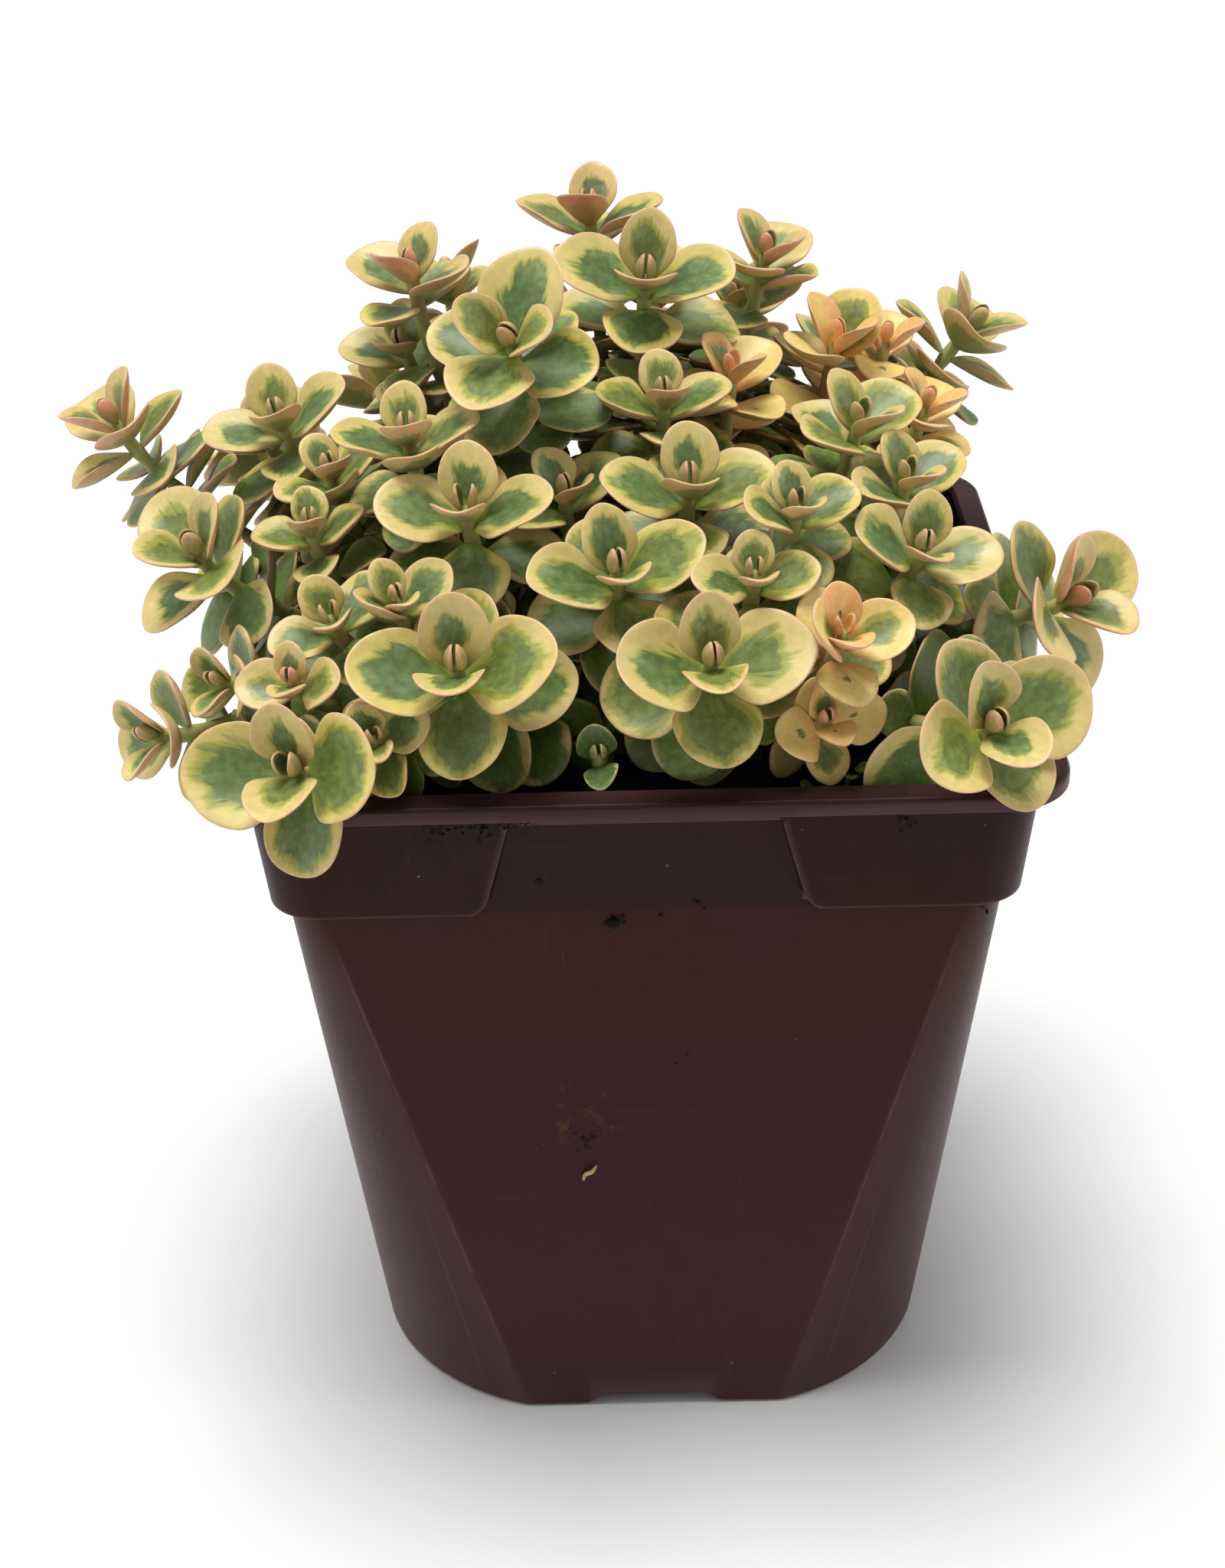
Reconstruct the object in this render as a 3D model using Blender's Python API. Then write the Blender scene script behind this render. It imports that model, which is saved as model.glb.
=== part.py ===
"""Potted variegated sedum: a square nursery pot, its potting mix and the shoots of one plant.

The pot has a turned-down rim, a collar with a label window in each side, a foot with a
notch in each side and four drain holes. Each shoot is a bent stem with fleshy leaves in
pairs, every pair turned a quarter from the one above it.
Metres, +Z up, -Y is the front. The origin is the middle of the pot's underside.
"""

import math
from itertools import product

import bmesh
import bpy
from mathutils import Vector
from mathutils.bvhtree import BVHTree

MM = 0.001
GAP = 0.3 * MM  # left between pieces that rest on each other

# Pot
RIM_WIDTH = 114 * MM
POT_HEIGHT = 116 * MM
WALL = 1.0 * MM
BASE_INSET = 7.3 * MM  # how far the body leans in from the collar to the base
BASE_CORNER = 22.5 * MM
BODY_CORNER = 5 * MM
RIM_CORNER = 10 * MM
CORNER_STEPS = 5
CORNER_CREASE = 0.38  # share by which a corner's arc is flattened towards its chord
LIP_REACH = 3.3 * MM
LIP_DROP = 2.4 * MM
LIP_ROUND = 0.8 * MM
COLLAR_DEPTH = 20 * MM  # rim's top to the collar's lower edge
COLLAR_STEP = 2.2 * MM
COLLAR_FLARE = 1.9 * MM
EDGE_RISE = 0.6 * MM  # height of the sloping edges of the collar and its window
WINDOW_DROP = 5.5 * MM  # rim's top to the window's upper edge
WINDOW_TOP_WIDTH = 36 * MM
WINDOW_BOTTOM_WIDTH = 43 * MM
WINDOW_SLOPE = 0.8 * MM
WINDOW_STEP = 1.0 * MM  # how deep the window's upper edge lies in the collar
FOOT_HEIGHT = 2.8 * MM
FOOT_WIDTH = 3.2 * MM
FOOT_ROUND = 1.0 * MM
PAD_RADIUS = 7 * MM  # small foot under the middle of the floor
PAD_SIDES = 16
FLOOR_ROUND = 1.6 * MM
NOTCH_HEIGHT = 2.4 * MM
NOTCH_TOP_WIDTH = 16 * MM
NOTCH_BOTTOM_WIDTH = 22 * MM
DRAIN_RADIUS = 4 * MM
DRAIN_INSET = 11 * MM  # drain hole's centre to the foot's inner side
DRAIN_SIDES = 12

# Potting mix
SOIL_DROP = 8 * MM  # rim's top to the surface of the mix

# Shoots
STEM_TIP_HALF = 0.75 * MM
STEM_BASE_HALF = 1.15 * MM
STEM_RING_SPACING = 10 * MM
STEM_CURVE_STEPS = 40
STEM_START_SHARE = 0.6  # how far out a stem starts, as a share of its crown's distance
STEM_EDGE_ROOM = 6 * MM  # stem's start to the edge of the mix
STEM_LEAST_RISE = 16 * MM  # how high a stem stays upright, so it clears the rim
STEM_PULLS = (0.4, 0.28, 0.16)  # how far below the crown a stem keeps its tilt
STEM_TRIES = 60
STEM_TRY_STEP = 1.6 * MM
NODE_LENGTH = 1.5 * MM  # stretch of stem that one pair of leaves grows from
LEAF_THICKNESS = 1.5 * MM
LEAF_CUP = 0.16  # rise of a leaf's edges, as a share of its half width
ROOM = 0.35 * MM  # least room round a leaf or stem
GOLDEN_ANGLE = math.radians(137.5)

# Pairs down the stem from its tip: millimetres below the tip, length as a share of the
# shoot's leaf, width over length, opening from the stem and bend along the leaf in degrees.
LEAF_PAIRS = (
    (0.0, 0.36, 0.56, 5, 16),
    (1.5, 0.78, 0.80, 34, 10),
    (3.2, 1.00, 0.92, 62, 8),
    (5.2, 0.88, 0.94, 80, 4),
    (8.8, 0.94, 0.92, 92, 6),
    (14.5, 0.86, 0.90, 90, 12),
    (21.5, 0.80, 0.88, 86, 14),
    (29.5, 0.74, 0.86, 84, 12),
)
# A leaf's outline: share of its length, breadth and thickness as shares of the fullest.
LEAF_RINGS = ((0.34, 0.84, 1.0), (0.66, 1.0, 0.9), (0.95, 0.52, 0.5))
SMALL_RINGS = ((0.48, 1.0, 1.0), (0.93, 0.48, 0.5))
LOW_PAIRS = 5  # from this pair down, and in the bud, a leaf has the simpler outline

# What a leaf does to clear its neighbours: degrees more open, length share, degrees aside.
LEAF_CHOICES = tuple(
    (opening, share, aside)
    for share in (1.0, 0.88, 0.74, 0.6)
    for aside in (0, 12, -12, 24, -24)
    for opening in (0, -10, 10, -22, 22, -34)
)

# Crowns: place from the pot's axis and height over the rim in mm on the 114 mm rim,
# heading (0 is the front, 90 the right), tilt, spin, leaf length in mm, pairs, kind.
SHOOTS = (
    ("front_1", -24, -50, 17, 0, 30, 0, 15.0, 6, "green"),
    ("front_2", 9, -52, 18, 4, 34, 5, 14.0, 6, "green"),
    ("front_3", 45, -56, 10, 8, 42, 26, 14.5, 5, "green"),
    ("front_4", -45, -60, 8, -14, 44, 4, 15.0, 5, "green"),
    ("front_5", 26, -50, 21, 8, 24, 8, 10.0, 5, "cream"),
    ("front_6", 24, -51, 9, 0, 36, 20, 8.5, 4, "cream"),
    ("front_7", -35, -54, 9, 10, 30, 20, 8.5, 4, "green"),
    ("front_8", -6, -47, 2, 0, 20, 10, 8.5, 2, "green"),
    ("middle_1", -3, -38, 25, 6, 26, 14, 13.0, 6, "green"),
    ("middle_2", -23, -30, 31, 0, 22, -5, 13.0, 7, "green"),
    ("middle_3", 7, -24, 31, 4, 18, 0, 13.0, 7, "green"),
    ("middle_4", 38, -33, 25, 16, 28, -14, 11.5, 6, "green"),
    ("middle_5", 21, -34, 32, 10, 16, 14, 9.5, 6, "green"),
    ("middle_6", 15, -42, 26, 0, 20, 6, 9.0, 5, "green"),
    ("middle_7", -32, -41, 23, 0, 20, 30, 9.0, 5, "green"),
    ("middle_8", 37, -20, 30, 12, 18, 28, 10.5, 6, "green"),
    ("middle_9", 4, -8, 38, 0, 14, 10, 10.5, 6, "green"),
    ("left_1", -61, -22, 22, -30, 28, -34, 13.5, 6, "green"),
    ("left_2", -41, -40, 20, -10, 24, 34, 9.5, 5, "green"),
    ("left_3", -45, -22, 26, 0, 8, 4, 8.5, 6, "green"),
    ("left_4", -51, 0, 33, -24, 22, 30, 12.0, 7, "green"),
    ("left_5", -76, 6, 31, -70, 24, 8, 12.0, 6, "blush"),
    ("left_6", -66, -42, 4, -50, 34, 30, 10.5, 4, "green"),
    ("left_7", -57, -38, 10, -30, 30, 10, 9.0, 4, "green"),
    ("left_8", -46, -48, 15, -10, 26, 0, 8.0, 3, "blush"),
    ("left_9", -43, -12, 30, -10, 12, 42, 9.0, 6, "green"),
    ("top_1", -17, -12, 48, -8, 46, 75, 14.0, 7, "green"),
    ("top_2", 2, 8, 50, 4, 32, -10, 14.0, 7, "green"),
    ("top_3", -6, 34, 52, -20, 10, 8, 12.0, 7, "blush"),
    ("top_4", -32, 14, 50, -30, 12, -6, 11.5, 7, "blush"),
    ("top_5", -34, 16, 38, -30, 24, 14, 10.5, 6, "green"),
    ("top_6", -31, -20, 38, -6, 12, 8, 11.0, 6, "green"),
    ("top_7", 20, 22, 49, 40, 16, 20, 11.0, 7, "blush"),
    ("top_8", 30, 14, 38, 20, 14, 30, 11.5, 6, "cream"),
    ("top_9", 14, 2, 38, 10, 12, 40, 10.0, 6, "cream"),
    ("right_1", 31, -12, 35, 24, 16, 22, 12.0, 6, "green"),
    ("right_2", 52, 30, 34, 80, 36, 0, 12.5, 5, "green"),
    ("right_3", 59, -29, 15, 42, 50, 10, 14.5, 6, "blush"),
    ("right_4", 43, 8, 30, 50, 16, 20, 9.5, 5, "cream"),
    ("right_5", 38, 20, 36, 30, 12, 50, 9.5, 5, "cream"),
    ("back_1", -14, 48, 30, 178, 30, 10, 12.5, 6, "green"),
    ("back_2", 14, 52, 24, 170, 34, -20, 13.0, 6, "green"),
    ("back_3", 38, 46, 20, 140, 34, 15, 12.0, 5, "green"),
    ("back_4", -40, 44, 22, -150, 32, 0, 12.5, 5, "green"),
    ("back_5", -60, 28, 16, -110, 40, 20, 12.5, 5, "green"),
    ("back_6", 46, 60, 14, 140, 40, -5, 12.0, 4, "green"),
    ("back_7", 4, 30, 42, 160, 18, 35, 10.5, 6, "blush"),
    ("back_8", -28, 34, 42, -160, 20, 60, 11.5, 6, "green"),
    ("back_9", 0, 62, 8, 180, 50, 0, 12.0, 4, "green"),
    ("back_10", -28, 60, 8, -170, 48, 30, 11.0, 4, "cream"),
    ("back_11", 30, 62, 6, 165, 50, 10, 11.5, 4, "green"),
    ("back_12", 50, 54, 4, 140, 46, 20, 10.0, 4, "green"),
    ("back_13", -58, 52, 6, -135, 46, 10, 12.0, 4, "green"),
    ("back_14", 32, 34, 32, 120, 20, 0, 10.0, 5, "green"),
    ("inner_1", -14, 20, 40, -10, 12, 20, 11.0, 6, "green"),
    ("inner_2", 16, 34, 38, 30, 14, 5, 10.5, 6, "green"),
    ("inner_3", -56, 14, 26, -60, 22, 40, 10.0, 6, "green"),
    ("inner_4", -10, -18, 28, 0, 14, 40, 10.5, 5, "green"),
)

COLOURS = {
    "pot": ((0.055, 0.018, 0.020), 0.38),
    "potting_mix": ((0.022, 0.014, 0.010), 0.95),
    "green": ((0.20, 0.29, 0.12), 0.45),
    "cream": ((0.66, 0.58, 0.28), 0.45),
    "blush": ((0.56, 0.40, 0.22), 0.45),
}

COLLAR_EDGE = POT_HEIGHT - COLLAR_DEPTH
WINDOW_EDGE = POT_HEIGHT - WINDOW_DROP
FLOOR_TOP = FOOT_HEIGHT + WALL
SOIL_TOP = POT_HEIGHT - SOIL_DROP
COLLAR_TOP_HALF = RIM_WIDTH / 2 - LIP_REACH
BODY_TOP_HALF = COLLAR_TOP_HALF - COLLAR_FLARE - COLLAR_STEP
BASE_HALF = BODY_TOP_HALF - BASE_INSET
NOTCH_EDGE = NOTCH_BOTTOM_WIDTH / 2
CROWN_SCALE = RIM_WIDTH / 114


def mix(low, high, share):
    return low + (high - low) * share


def clear_scene():
    for obj in list(bpy.data.objects):
        bpy.data.objects.remove(obj)


def finish_material(name):
    """The named material, made the first time it is asked for."""
    found = bpy.data.materials.get(name)
    if found:
        return found
    colour, roughness = COLOURS[name]
    material = bpy.data.materials.new(name)
    material.use_nodes = True
    shader = material.node_tree.nodes["Principled BSDF"]
    shader.inputs["Base Color"].default_value = (*colour, 1)
    shader.inputs["Roughness"].default_value = roughness
    shader.inputs["Metallic"].default_value = 0
    return material


def add_object(name, bm, material, smooth_angle=40):
    mesh = bpy.data.meshes.new(name)
    bm.to_mesh(mesh)
    bm.free()
    mesh.shade_smooth()
    mesh.set_sharp_from_angle(angle=math.radians(smooth_angle))
    mesh.materials.append(finish_material(material))
    obj = bpy.data.objects.new(name, mesh)
    bpy.context.scene.collection.objects.link(obj)
    return obj


def bridge(bm, lower, upper):
    """Quads between two rings of as many vertices."""
    count = len(lower)
    for i in range(count):
        j = (i + 1) % count
        bm.faces.new((lower[i], lower[j], upper[j], upper[i]))


def ring_edges(ring):
    """The edges of a closed ring of vertices."""
    wanted = zip(ring, ring[1:] + ring[:1])
    return [next(edge for edge in a.link_edges if edge.other_vert(a) == b) for a, b in wanted]


# The pot's walls


def body_half(z):
    return mix(BASE_HALF, BODY_TOP_HALF, z / COLLAR_EDGE)


def collar_half(z):
    return COLLAR_TOP_HALF - COLLAR_FLARE * (POT_HEIGHT - z) / COLLAR_DEPTH


def window_plane(z):
    """Half width at a label window: flush with the wall below, nearly flush with the collar on top."""
    share = (z - COLLAR_EDGE) / (WINDOW_EDGE - COLLAR_EDGE)
    return mix(body_half(COLLAR_EDGE), collar_half(WINDOW_EDGE) - WINDOW_STEP, share)


def body_corner(z):
    base = min(BASE_CORNER, BASE_HALF - NOTCH_EDGE - WINDOW_SLOPE - WALL - 1 * MM)
    return mix(base, BODY_CORNER, min(z / COLLAR_EDGE, 1))


def window_half(z):
    """Half the window's width. Below the collar it runs down to the notch in the foot."""
    if z < COLLAR_EDGE:
        return mix(NOTCH_EDGE, WINDOW_BOTTOM_WIDTH / 2, z / COLLAR_EDGE)
    share = min((z - COLLAR_EDGE) / (WINDOW_EDGE - COLLAR_EDGE), 1)
    return mix(WINDOW_BOTTOM_WIDTH, WINDOW_TOP_WIDTH, share) / 2


def outline(z, half, middle, corner, inset=0.0, lift=0.0, crease=0.0):
    """A ring round the pot. Middle is the half width at the window, inset moves it inwards.

    Crease flattens the corner's arc towards its chord, which leaves an edge where a face ends.
    """
    step = half - middle
    slope = WINDOW_SLOPE * step / COLLAR_STEP if step > 0 else WINDOW_SLOPE  # keeps the side flat
    half, middle = half - inset, middle - inset
    corner = max(corner - inset, 0.5 * MM)
    flat = half - corner
    inner = min(window_half(z) + inset, flat - WINDOW_SLOPE - 0.5 * MM)
    outer = inner + slope
    points = []
    for side in range(4):
        turn = math.pi / 2 * side
        along = Vector((math.cos(turn), math.sin(turn), 0))
        out = Vector((math.sin(turn), -math.cos(turn), 0))
        for place, depth in ((-outer, half), (-inner, middle), (inner, middle), (outer, half)):
            points.append(along * place + out * depth)
        for step in range(CORNER_STEPS + 1):
            angle = math.pi / 2 * step / CORNER_STEPS
            arc = along * math.sin(angle) + out * math.cos(angle)
            chord = along * (step / CORNER_STEPS) + out * (1 - step / CORNER_STEPS)
            points.append((along + out) * flat + arc.lerp(chord, crease) * corner)
    return [point + Vector((0, 0, z + lift)) for point in points]


def body_ring(z, inset=0.0, lift=0.0):
    half = body_half(z)
    return outline(z, half, half, body_corner(z), inset, lift, CORNER_CREASE)


def collar_ring(z, windowed, inset=0.0, lift=0.0):
    corner = mix(BODY_CORNER + COLLAR_STEP, RIM_CORNER - LIP_REACH, (z - COLLAR_EDGE) / COLLAR_DEPTH)
    middle = window_plane(z) if windowed else collar_half(z)
    return outline(z, collar_half(z), middle, corner, inset, lift)


def rim_ring(z, inset):
    return outline(z, RIM_WIDTH / 2, RIM_WIDTH / 2, RIM_CORNER, inset)


def inner_rings(inset, top):
    """Rings up the pot's inside, from its floor to a height, moved inwards by inset."""
    lift = inset
    rings = [
        body_ring(FLOOR_TOP, inset + FLOOR_ROUND, lift - WALL),
        body_ring(FLOOR_TOP + FLOOR_ROUND, inset, lift - WALL),
    ]
    levels = (
        (COLLAR_EDGE - EDGE_RISE / 2, lambda z, up: body_ring(z, inset, up)),
        (COLLAR_EDGE + EDGE_RISE / 2, lambda z, up: collar_ring(z, True, inset, up)),
        (WINDOW_EDGE, lambda z, up: collar_ring(z, True, inset, up)),
        (WINDOW_EDGE + EDGE_RISE, lambda z, up: collar_ring(z, False, inset, up)),
    )
    make = levels[0][1]
    for z, next_make in levels:
        if z + lift >= top - GAP:
            break
        make = next_make
        rings.append(make(z, lift))
    rings.append(make(top - lift, lift))
    return rings


def make_pot():
    top = POT_HEIGHT
    rings = [
        body_ring(0, FOOT_WIDTH, FOOT_HEIGHT),
        body_ring(0, FOOT_WIDTH),
        body_ring(0, FOOT_ROUND),
        body_ring(FOOT_ROUND),
        body_ring(COLLAR_EDGE - EDGE_RISE / 2),
        collar_ring(COLLAR_EDGE + EDGE_RISE / 2, True),
        collar_ring(WINDOW_EDGE, True),
        collar_ring(WINDOW_EDGE + EDGE_RISE, False),
        collar_ring(top - WALL, False),
        rim_ring(top - WALL, WALL),
        rim_ring(top - LIP_DROP, WALL),
        rim_ring(top - LIP_DROP, 0),
        rim_ring(top - LIP_ROUND, 0),
        rim_ring(top, LIP_ROUND),
        collar_ring(top, False, WALL - LIP_ROUND / 2),
    ]
    rings += reversed(inner_rings(WALL, top - LIP_ROUND))
    bm = bmesh.new()
    loops = [[bm.verts.new(point) for point in ring] for ring in rings]
    for lower, upper in zip(loops, loops[1:]):
        bridge(bm, lower, upper)
    bm.faces.new(loops[-1])
    # The floor's underside, with the round pad in its middle.
    pad = []
    for z in (FOOT_HEIGHT, 0):
        pad.append([])
        for step in range(PAD_SIDES):
            angle = 2 * math.pi * step / PAD_SIDES
            spoke = Vector((math.cos(angle), math.sin(angle), 0)) * PAD_RADIUS
            pad[-1].append(bm.verts.new(spoke + Vector((0, 0, z))))
    bridge(bm, *pad)
    bm.faces.new(pad[1])
    fill = [edge for ring in (loops[0], pad[0]) for edge in ring_edges(ring)]
    bmesh.ops.triangle_fill(bm, use_beauty=True, use_dissolve=False, edges=fill)
    bmesh.ops.recalc_face_normals(bm, faces=bm.faces)
    pot = add_object("nursery_pot", bm, "pot")
    cut = pot.modifiers.new("notches_and_drains", "BOOLEAN")
    cut.object = make_base_cutter()
    cut.operation = "DIFFERENCE"
    cut.solver = "EXACT"
    return pot


def make_base_cutter():
    """Four tapered blocks for the foot's notches and four rods for the drain holes."""
    bm = bmesh.new()
    below = 1 * MM
    slope = (NOTCH_BOTTOM_WIDTH - NOTCH_TOP_WIDTH) / 2 / NOTCH_HEIGHT
    for side in range(4):
        turn = math.pi / 2 * side
        along = Vector((math.cos(turn), math.sin(turn), 0))
        out = Vector((math.sin(turn), -math.cos(turn), 0))
        ends = []
        for depth in (BASE_HALF - FOOT_WIDTH - 1 * MM, BASE_HALF + 2 * MM):
            low, high = NOTCH_EDGE + slope * below, NOTCH_TOP_WIDTH / 2
            corners = ((-low, -below), (low, -below), (high, NOTCH_HEIGHT), (-high, NOTCH_HEIGHT))
            ends.append([bm.verts.new(along * x + out * depth + Vector((0, 0, z))) for x, z in corners])
        bridge(bm, *ends)
        for end in ends:
            bm.faces.new(end)
        centre = out * (BASE_HALF - FOOT_WIDTH - DRAIN_INSET)
        rings = []
        for z in (FOOT_HEIGHT - below, FLOOR_TOP + below):
            rings.append([])
            for step in range(DRAIN_SIDES):
                angle = 2 * math.pi * step / DRAIN_SIDES
                spoke = Vector((math.cos(angle), math.sin(angle), 0)) * DRAIN_RADIUS
                rings[-1].append(bm.verts.new(centre + spoke + Vector((0, 0, z))))
        bridge(bm, *rings)
        for ring in rings:
            bm.faces.new(ring)
    bmesh.ops.recalc_face_normals(bm, faces=bm.faces)
    cutter = add_object("base_cutter", bm, "pot")
    cutter.hide_render = True
    cutter.display_type = "WIRE"
    return cutter


def make_soil():
    rings = inner_rings(WALL + GAP, SOIL_TOP)
    bm = bmesh.new()
    loops = [[bm.verts.new(point) for point in ring] for ring in rings]
    for lower, upper in zip(loops, loops[1:]):
        bridge(bm, lower, upper)
    bm.faces.new(loops[0])
    bm.faces.new(loops[-1])
    bmesh.ops.recalc_face_normals(bm, faces=bm.faces)
    return add_object("potting_mix", bm, "potting_mix")


# The shoots


class Crowd:
    """What has been placed so far, and whether something new has room in it."""

    def __init__(self):
        self.placed = []

    def add(self, owner, points, faces):
        tree = BVHTree.FromPolygons(points, faces)
        self.placed.append((owner, tree, *box_of(points)))

    def has_room(self, owner, points, faces):
        tree = None
        low, high = box_of(points)
        for other, other_tree, other_low, other_high in self.placed:
            if other == owner:
                continue
            if any(low[i] > other_high[i] or high[i] < other_low[i] for i in range(3)):
                continue
            tree = tree or BVHTree.FromPolygons(points, faces)
            if tree.overlap(other_tree):
                return False
        return True


def box_of(points):
    low = [min(point[i] for point in points) for i in range(3)]
    high = [max(point[i] for point in points) for i in range(3)]
    return low, high


def triangles(first, second, skip=()):
    """Triangles between two rings of four, but for the skipped sides."""
    for i in range(4):
        if i not in skip:
            j = (i + 1) % 4
            yield first[i], first[j], second[j]
            yield first[i], second[j], second[i]


def cap(ring):
    return (ring[0], ring[1], ring[2]), (ring[0], ring[2], ring[3])


def closed_tube(rings):
    """Points and faces of the closed tube through rings of four points."""
    points = [point for ring in rings for point in ring]
    loops = [range(k, k + 4) for k in range(0, len(points), 4)]
    faces = [*cap(loops[0]), *cap(loops[-1])]
    for first, second in zip(loops, loops[1:]):
        faces += triangles(first, second)
    return points, faces


class Stem:
    """A bent stem from the potting mix to a crown, with its turning frame along it."""

    def __init__(self, crown, heading, tilt, spin, start, pull, pairs):
        flat = Vector((math.sin(heading), -math.cos(heading), 0))
        right = Vector((math.cos(heading), math.sin(heading), 0))
        axis = flat * math.sin(tilt) + Vector((0, 0, math.cos(tilt)))
        right = right * math.cos(spin) + axis.cross(right) * math.sin(spin)
        rise = max((crown.z - start.z) * 0.45, STEM_LEAST_RISE)
        pull *= (crown - start).length
        knots = (crown, crown - axis * pull, start + Vector((0, 0, rise)), start)
        self.stations = []
        before, walked = crown, 0.0
        for step in range(STEM_CURVE_STEPS + 1):
            t = step / STEM_CURVE_STEPS
            s = 1 - t
            point = knots[0] * s**3 + knots[1] * 3 * s * s * t
            point += knots[2] * 3 * s * t * t + knots[3] * t**3
            slope = (knots[0] - knots[1]) * s * s + (knots[1] - knots[2]) * 2 * s * t
            slope += (knots[2] - knots[3]) * t * t
            along = slope.normalized()
            right = (right - along * right.dot(along)).normalized()
            walked += (point - before).length
            before = point
            self.stations.append((walked, point, along, right.copy()))
        self.length = walked
        self.levels = []
        for pair in range(pairs):
            top = LEAF_PAIRS[pair][0] * MM
            if pair and top - self.levels[-1][0] < 0.4 * MM:
                self.levels.pop()
            self.levels += [(top, pair), (top + NODE_LENGTH, None)]
        last = self.levels[-1][0]
        steps = max(1, round((walked - last) / STEM_RING_SPACING))
        self.levels += [(mix(last, walked, (k + 1) / steps), None) for k in range(steps)]

    def at(self, distance):
        """Place, direction and two cross directions at a distance below the crown."""
        for (d0, p0, a0, r0), (d1, p1, a1, r1) in zip(self.stations, self.stations[1:]):
            if d1 >= distance:
                break
        share = min(max((distance - d0) / max(d1 - d0, 1e-9), 0), 1)
        along = a0.lerp(a1, share).normalized()
        right = r0.lerp(r1, share)
        right = (right - along * right.dot(along)).normalized()
        return p0.lerp(p1, share), along, right, along.cross(right)

    def ring(self, distance, grow=0.0):
        """The stem's four corners there, each between two leaf directions."""
        place, _, right, back = self.at(distance)
        half = mix(STEM_TIP_HALF, STEM_BASE_HALF, min(distance / self.length, 1)) + grow
        return [place + (right * x + back * y) * half for x, y in ((1, -1), (1, 1), (-1, 1), (-1, -1))]

    def socket(self, pair, hand):
        """The side of the stem that a leaf grows from: two lower corners, two upper ones."""
        index = [level for _, level in self.levels].index(pair)
        upper, lower = (self.ring(self.levels[index + k][0]) for k in (0, 1))
        near = side_of(pair, hand)
        far = (near + 1) % 4
        return [lower[near], lower[far], upper[far], upper[near]]

    def tube(self, grow=0.0):
        return closed_tube([self.ring(distance, grow) for distance, _ in reversed(self.levels)])


def side_of(pair, hand):
    """Which side of a stem's ring a leaf is on: 0 faces right, 1 back, 2 left, 3 front."""
    return pair % 2 + (0 if hand > 0 else 2)


def leaf_rings(stem, pair, hand, leaf_length, choice, grow=0.0):
    """The four-cornered rings of one leaf, out from the stem. Hand is 1 or -1."""
    below, share, width_share, opening, bend = LEAF_PAIRS[pair]
    more_open, shorter, aside = choice
    place, axis, right, back = stem.at(below * MM + NODE_LENGTH / 2)
    out = (right if pair % 2 == 0 else back) * hand
    turn = math.radians(aside)
    out = out * math.cos(turn) + axis.cross(out) * math.sin(turn)
    side = axis.cross(out)
    length = leaf_length * share * shorter
    half_width = length * width_share / 2
    start, bend = math.radians(opening + more_open), math.radians(bend)
    root = place + out * STEM_TIP_HALF
    rings = []
    for reach, breadth, thickness in LEAF_RINGS if 0 < pair < LOW_PAIRS else SMALL_RINGS:
        angle = start + bend * reach
        across = (math.cos(start) - math.cos(angle)) / bend
        up = (math.sin(angle) - math.sin(start)) / bend
        centre = root + (out * across + axis * up) * length
        normal = axis * math.sin(angle) - out * math.cos(angle)
        edge = side * (half_width * breadth + grow)
        lift = normal * (half_width * breadth * LEAF_CUP)
        half = normal * (LEAF_THICKNESS / 2 * thickness * (0.6 if pair == 0 else 1) + grow)
        rings.append([centre - edge + lift, centre - half, centre + edge + lift, centre + half])
    return rings


def leaf_tube(stem, pair, hand, leaf_length, choice, grow=0.0):
    rings = leaf_rings(stem, pair, hand, leaf_length, choice, grow)
    return closed_tube([stem.socket(pair, hand), *rings])


def place_stems(crowd):
    """Starts each stem where it has room, nearest first to a share of its crown's place."""
    stems = {}
    limit = body_half(SOIL_TOP) - WALL - STEM_EDGE_ROOM
    for name, x, y, height, heading, tilt, spin, _, pairs, _ in SHOOTS:
        crown = Vector((x * CROWN_SCALE, y * CROWN_SCALE, POT_HEIGHT + height * MM))
        turns = [math.radians(angle) for angle in (heading, tilt, spin)]
        for step, pull in product(range(STEM_TRIES), STEM_PULLS):
            reach = STEM_TRY_STEP * math.sqrt(step)
            start = Vector((
                crown.x * STEM_START_SHARE + reach * math.cos(GOLDEN_ANGLE * step),
                crown.y * STEM_START_SHARE + reach * math.sin(GOLDEN_ANGLE * step),
                SOIL_TOP + GAP,
            ))
            start.x = min(max(start.x, -limit), limit)
            start.y = min(max(start.y, -limit), limit)
            stem = Stem(crown, *turns, start, pull, pairs)
            if crowd.has_room(name, *stem.tube(ROOM)):
                break
        else:
            print("no clear start for", name)
        crowd.add(name, *stem.tube())
        stems[name] = stem
    return stems


def place_leaves(crowd, stems):
    """Every crown's uppermost pair first, then the next pair down, where each has room."""
    chosen = {}
    for pair in range(len(LEAF_PAIRS)):
        for name, *_, leaf_length, pairs, _ in SHOOTS:
            if pair >= pairs:
                continue
            for hand in (1, -1):
                for choice in LEAF_CHOICES:
                    leaf = (stems[name], pair, hand, leaf_length * MM, choice)
                    if crowd.has_room(name, *leaf_tube(*leaf, ROOM)):
                        crowd.add(name, *leaf_tube(*leaf))
                        chosen[name, pair, hand] = choice
                        break
    return chosen


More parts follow.
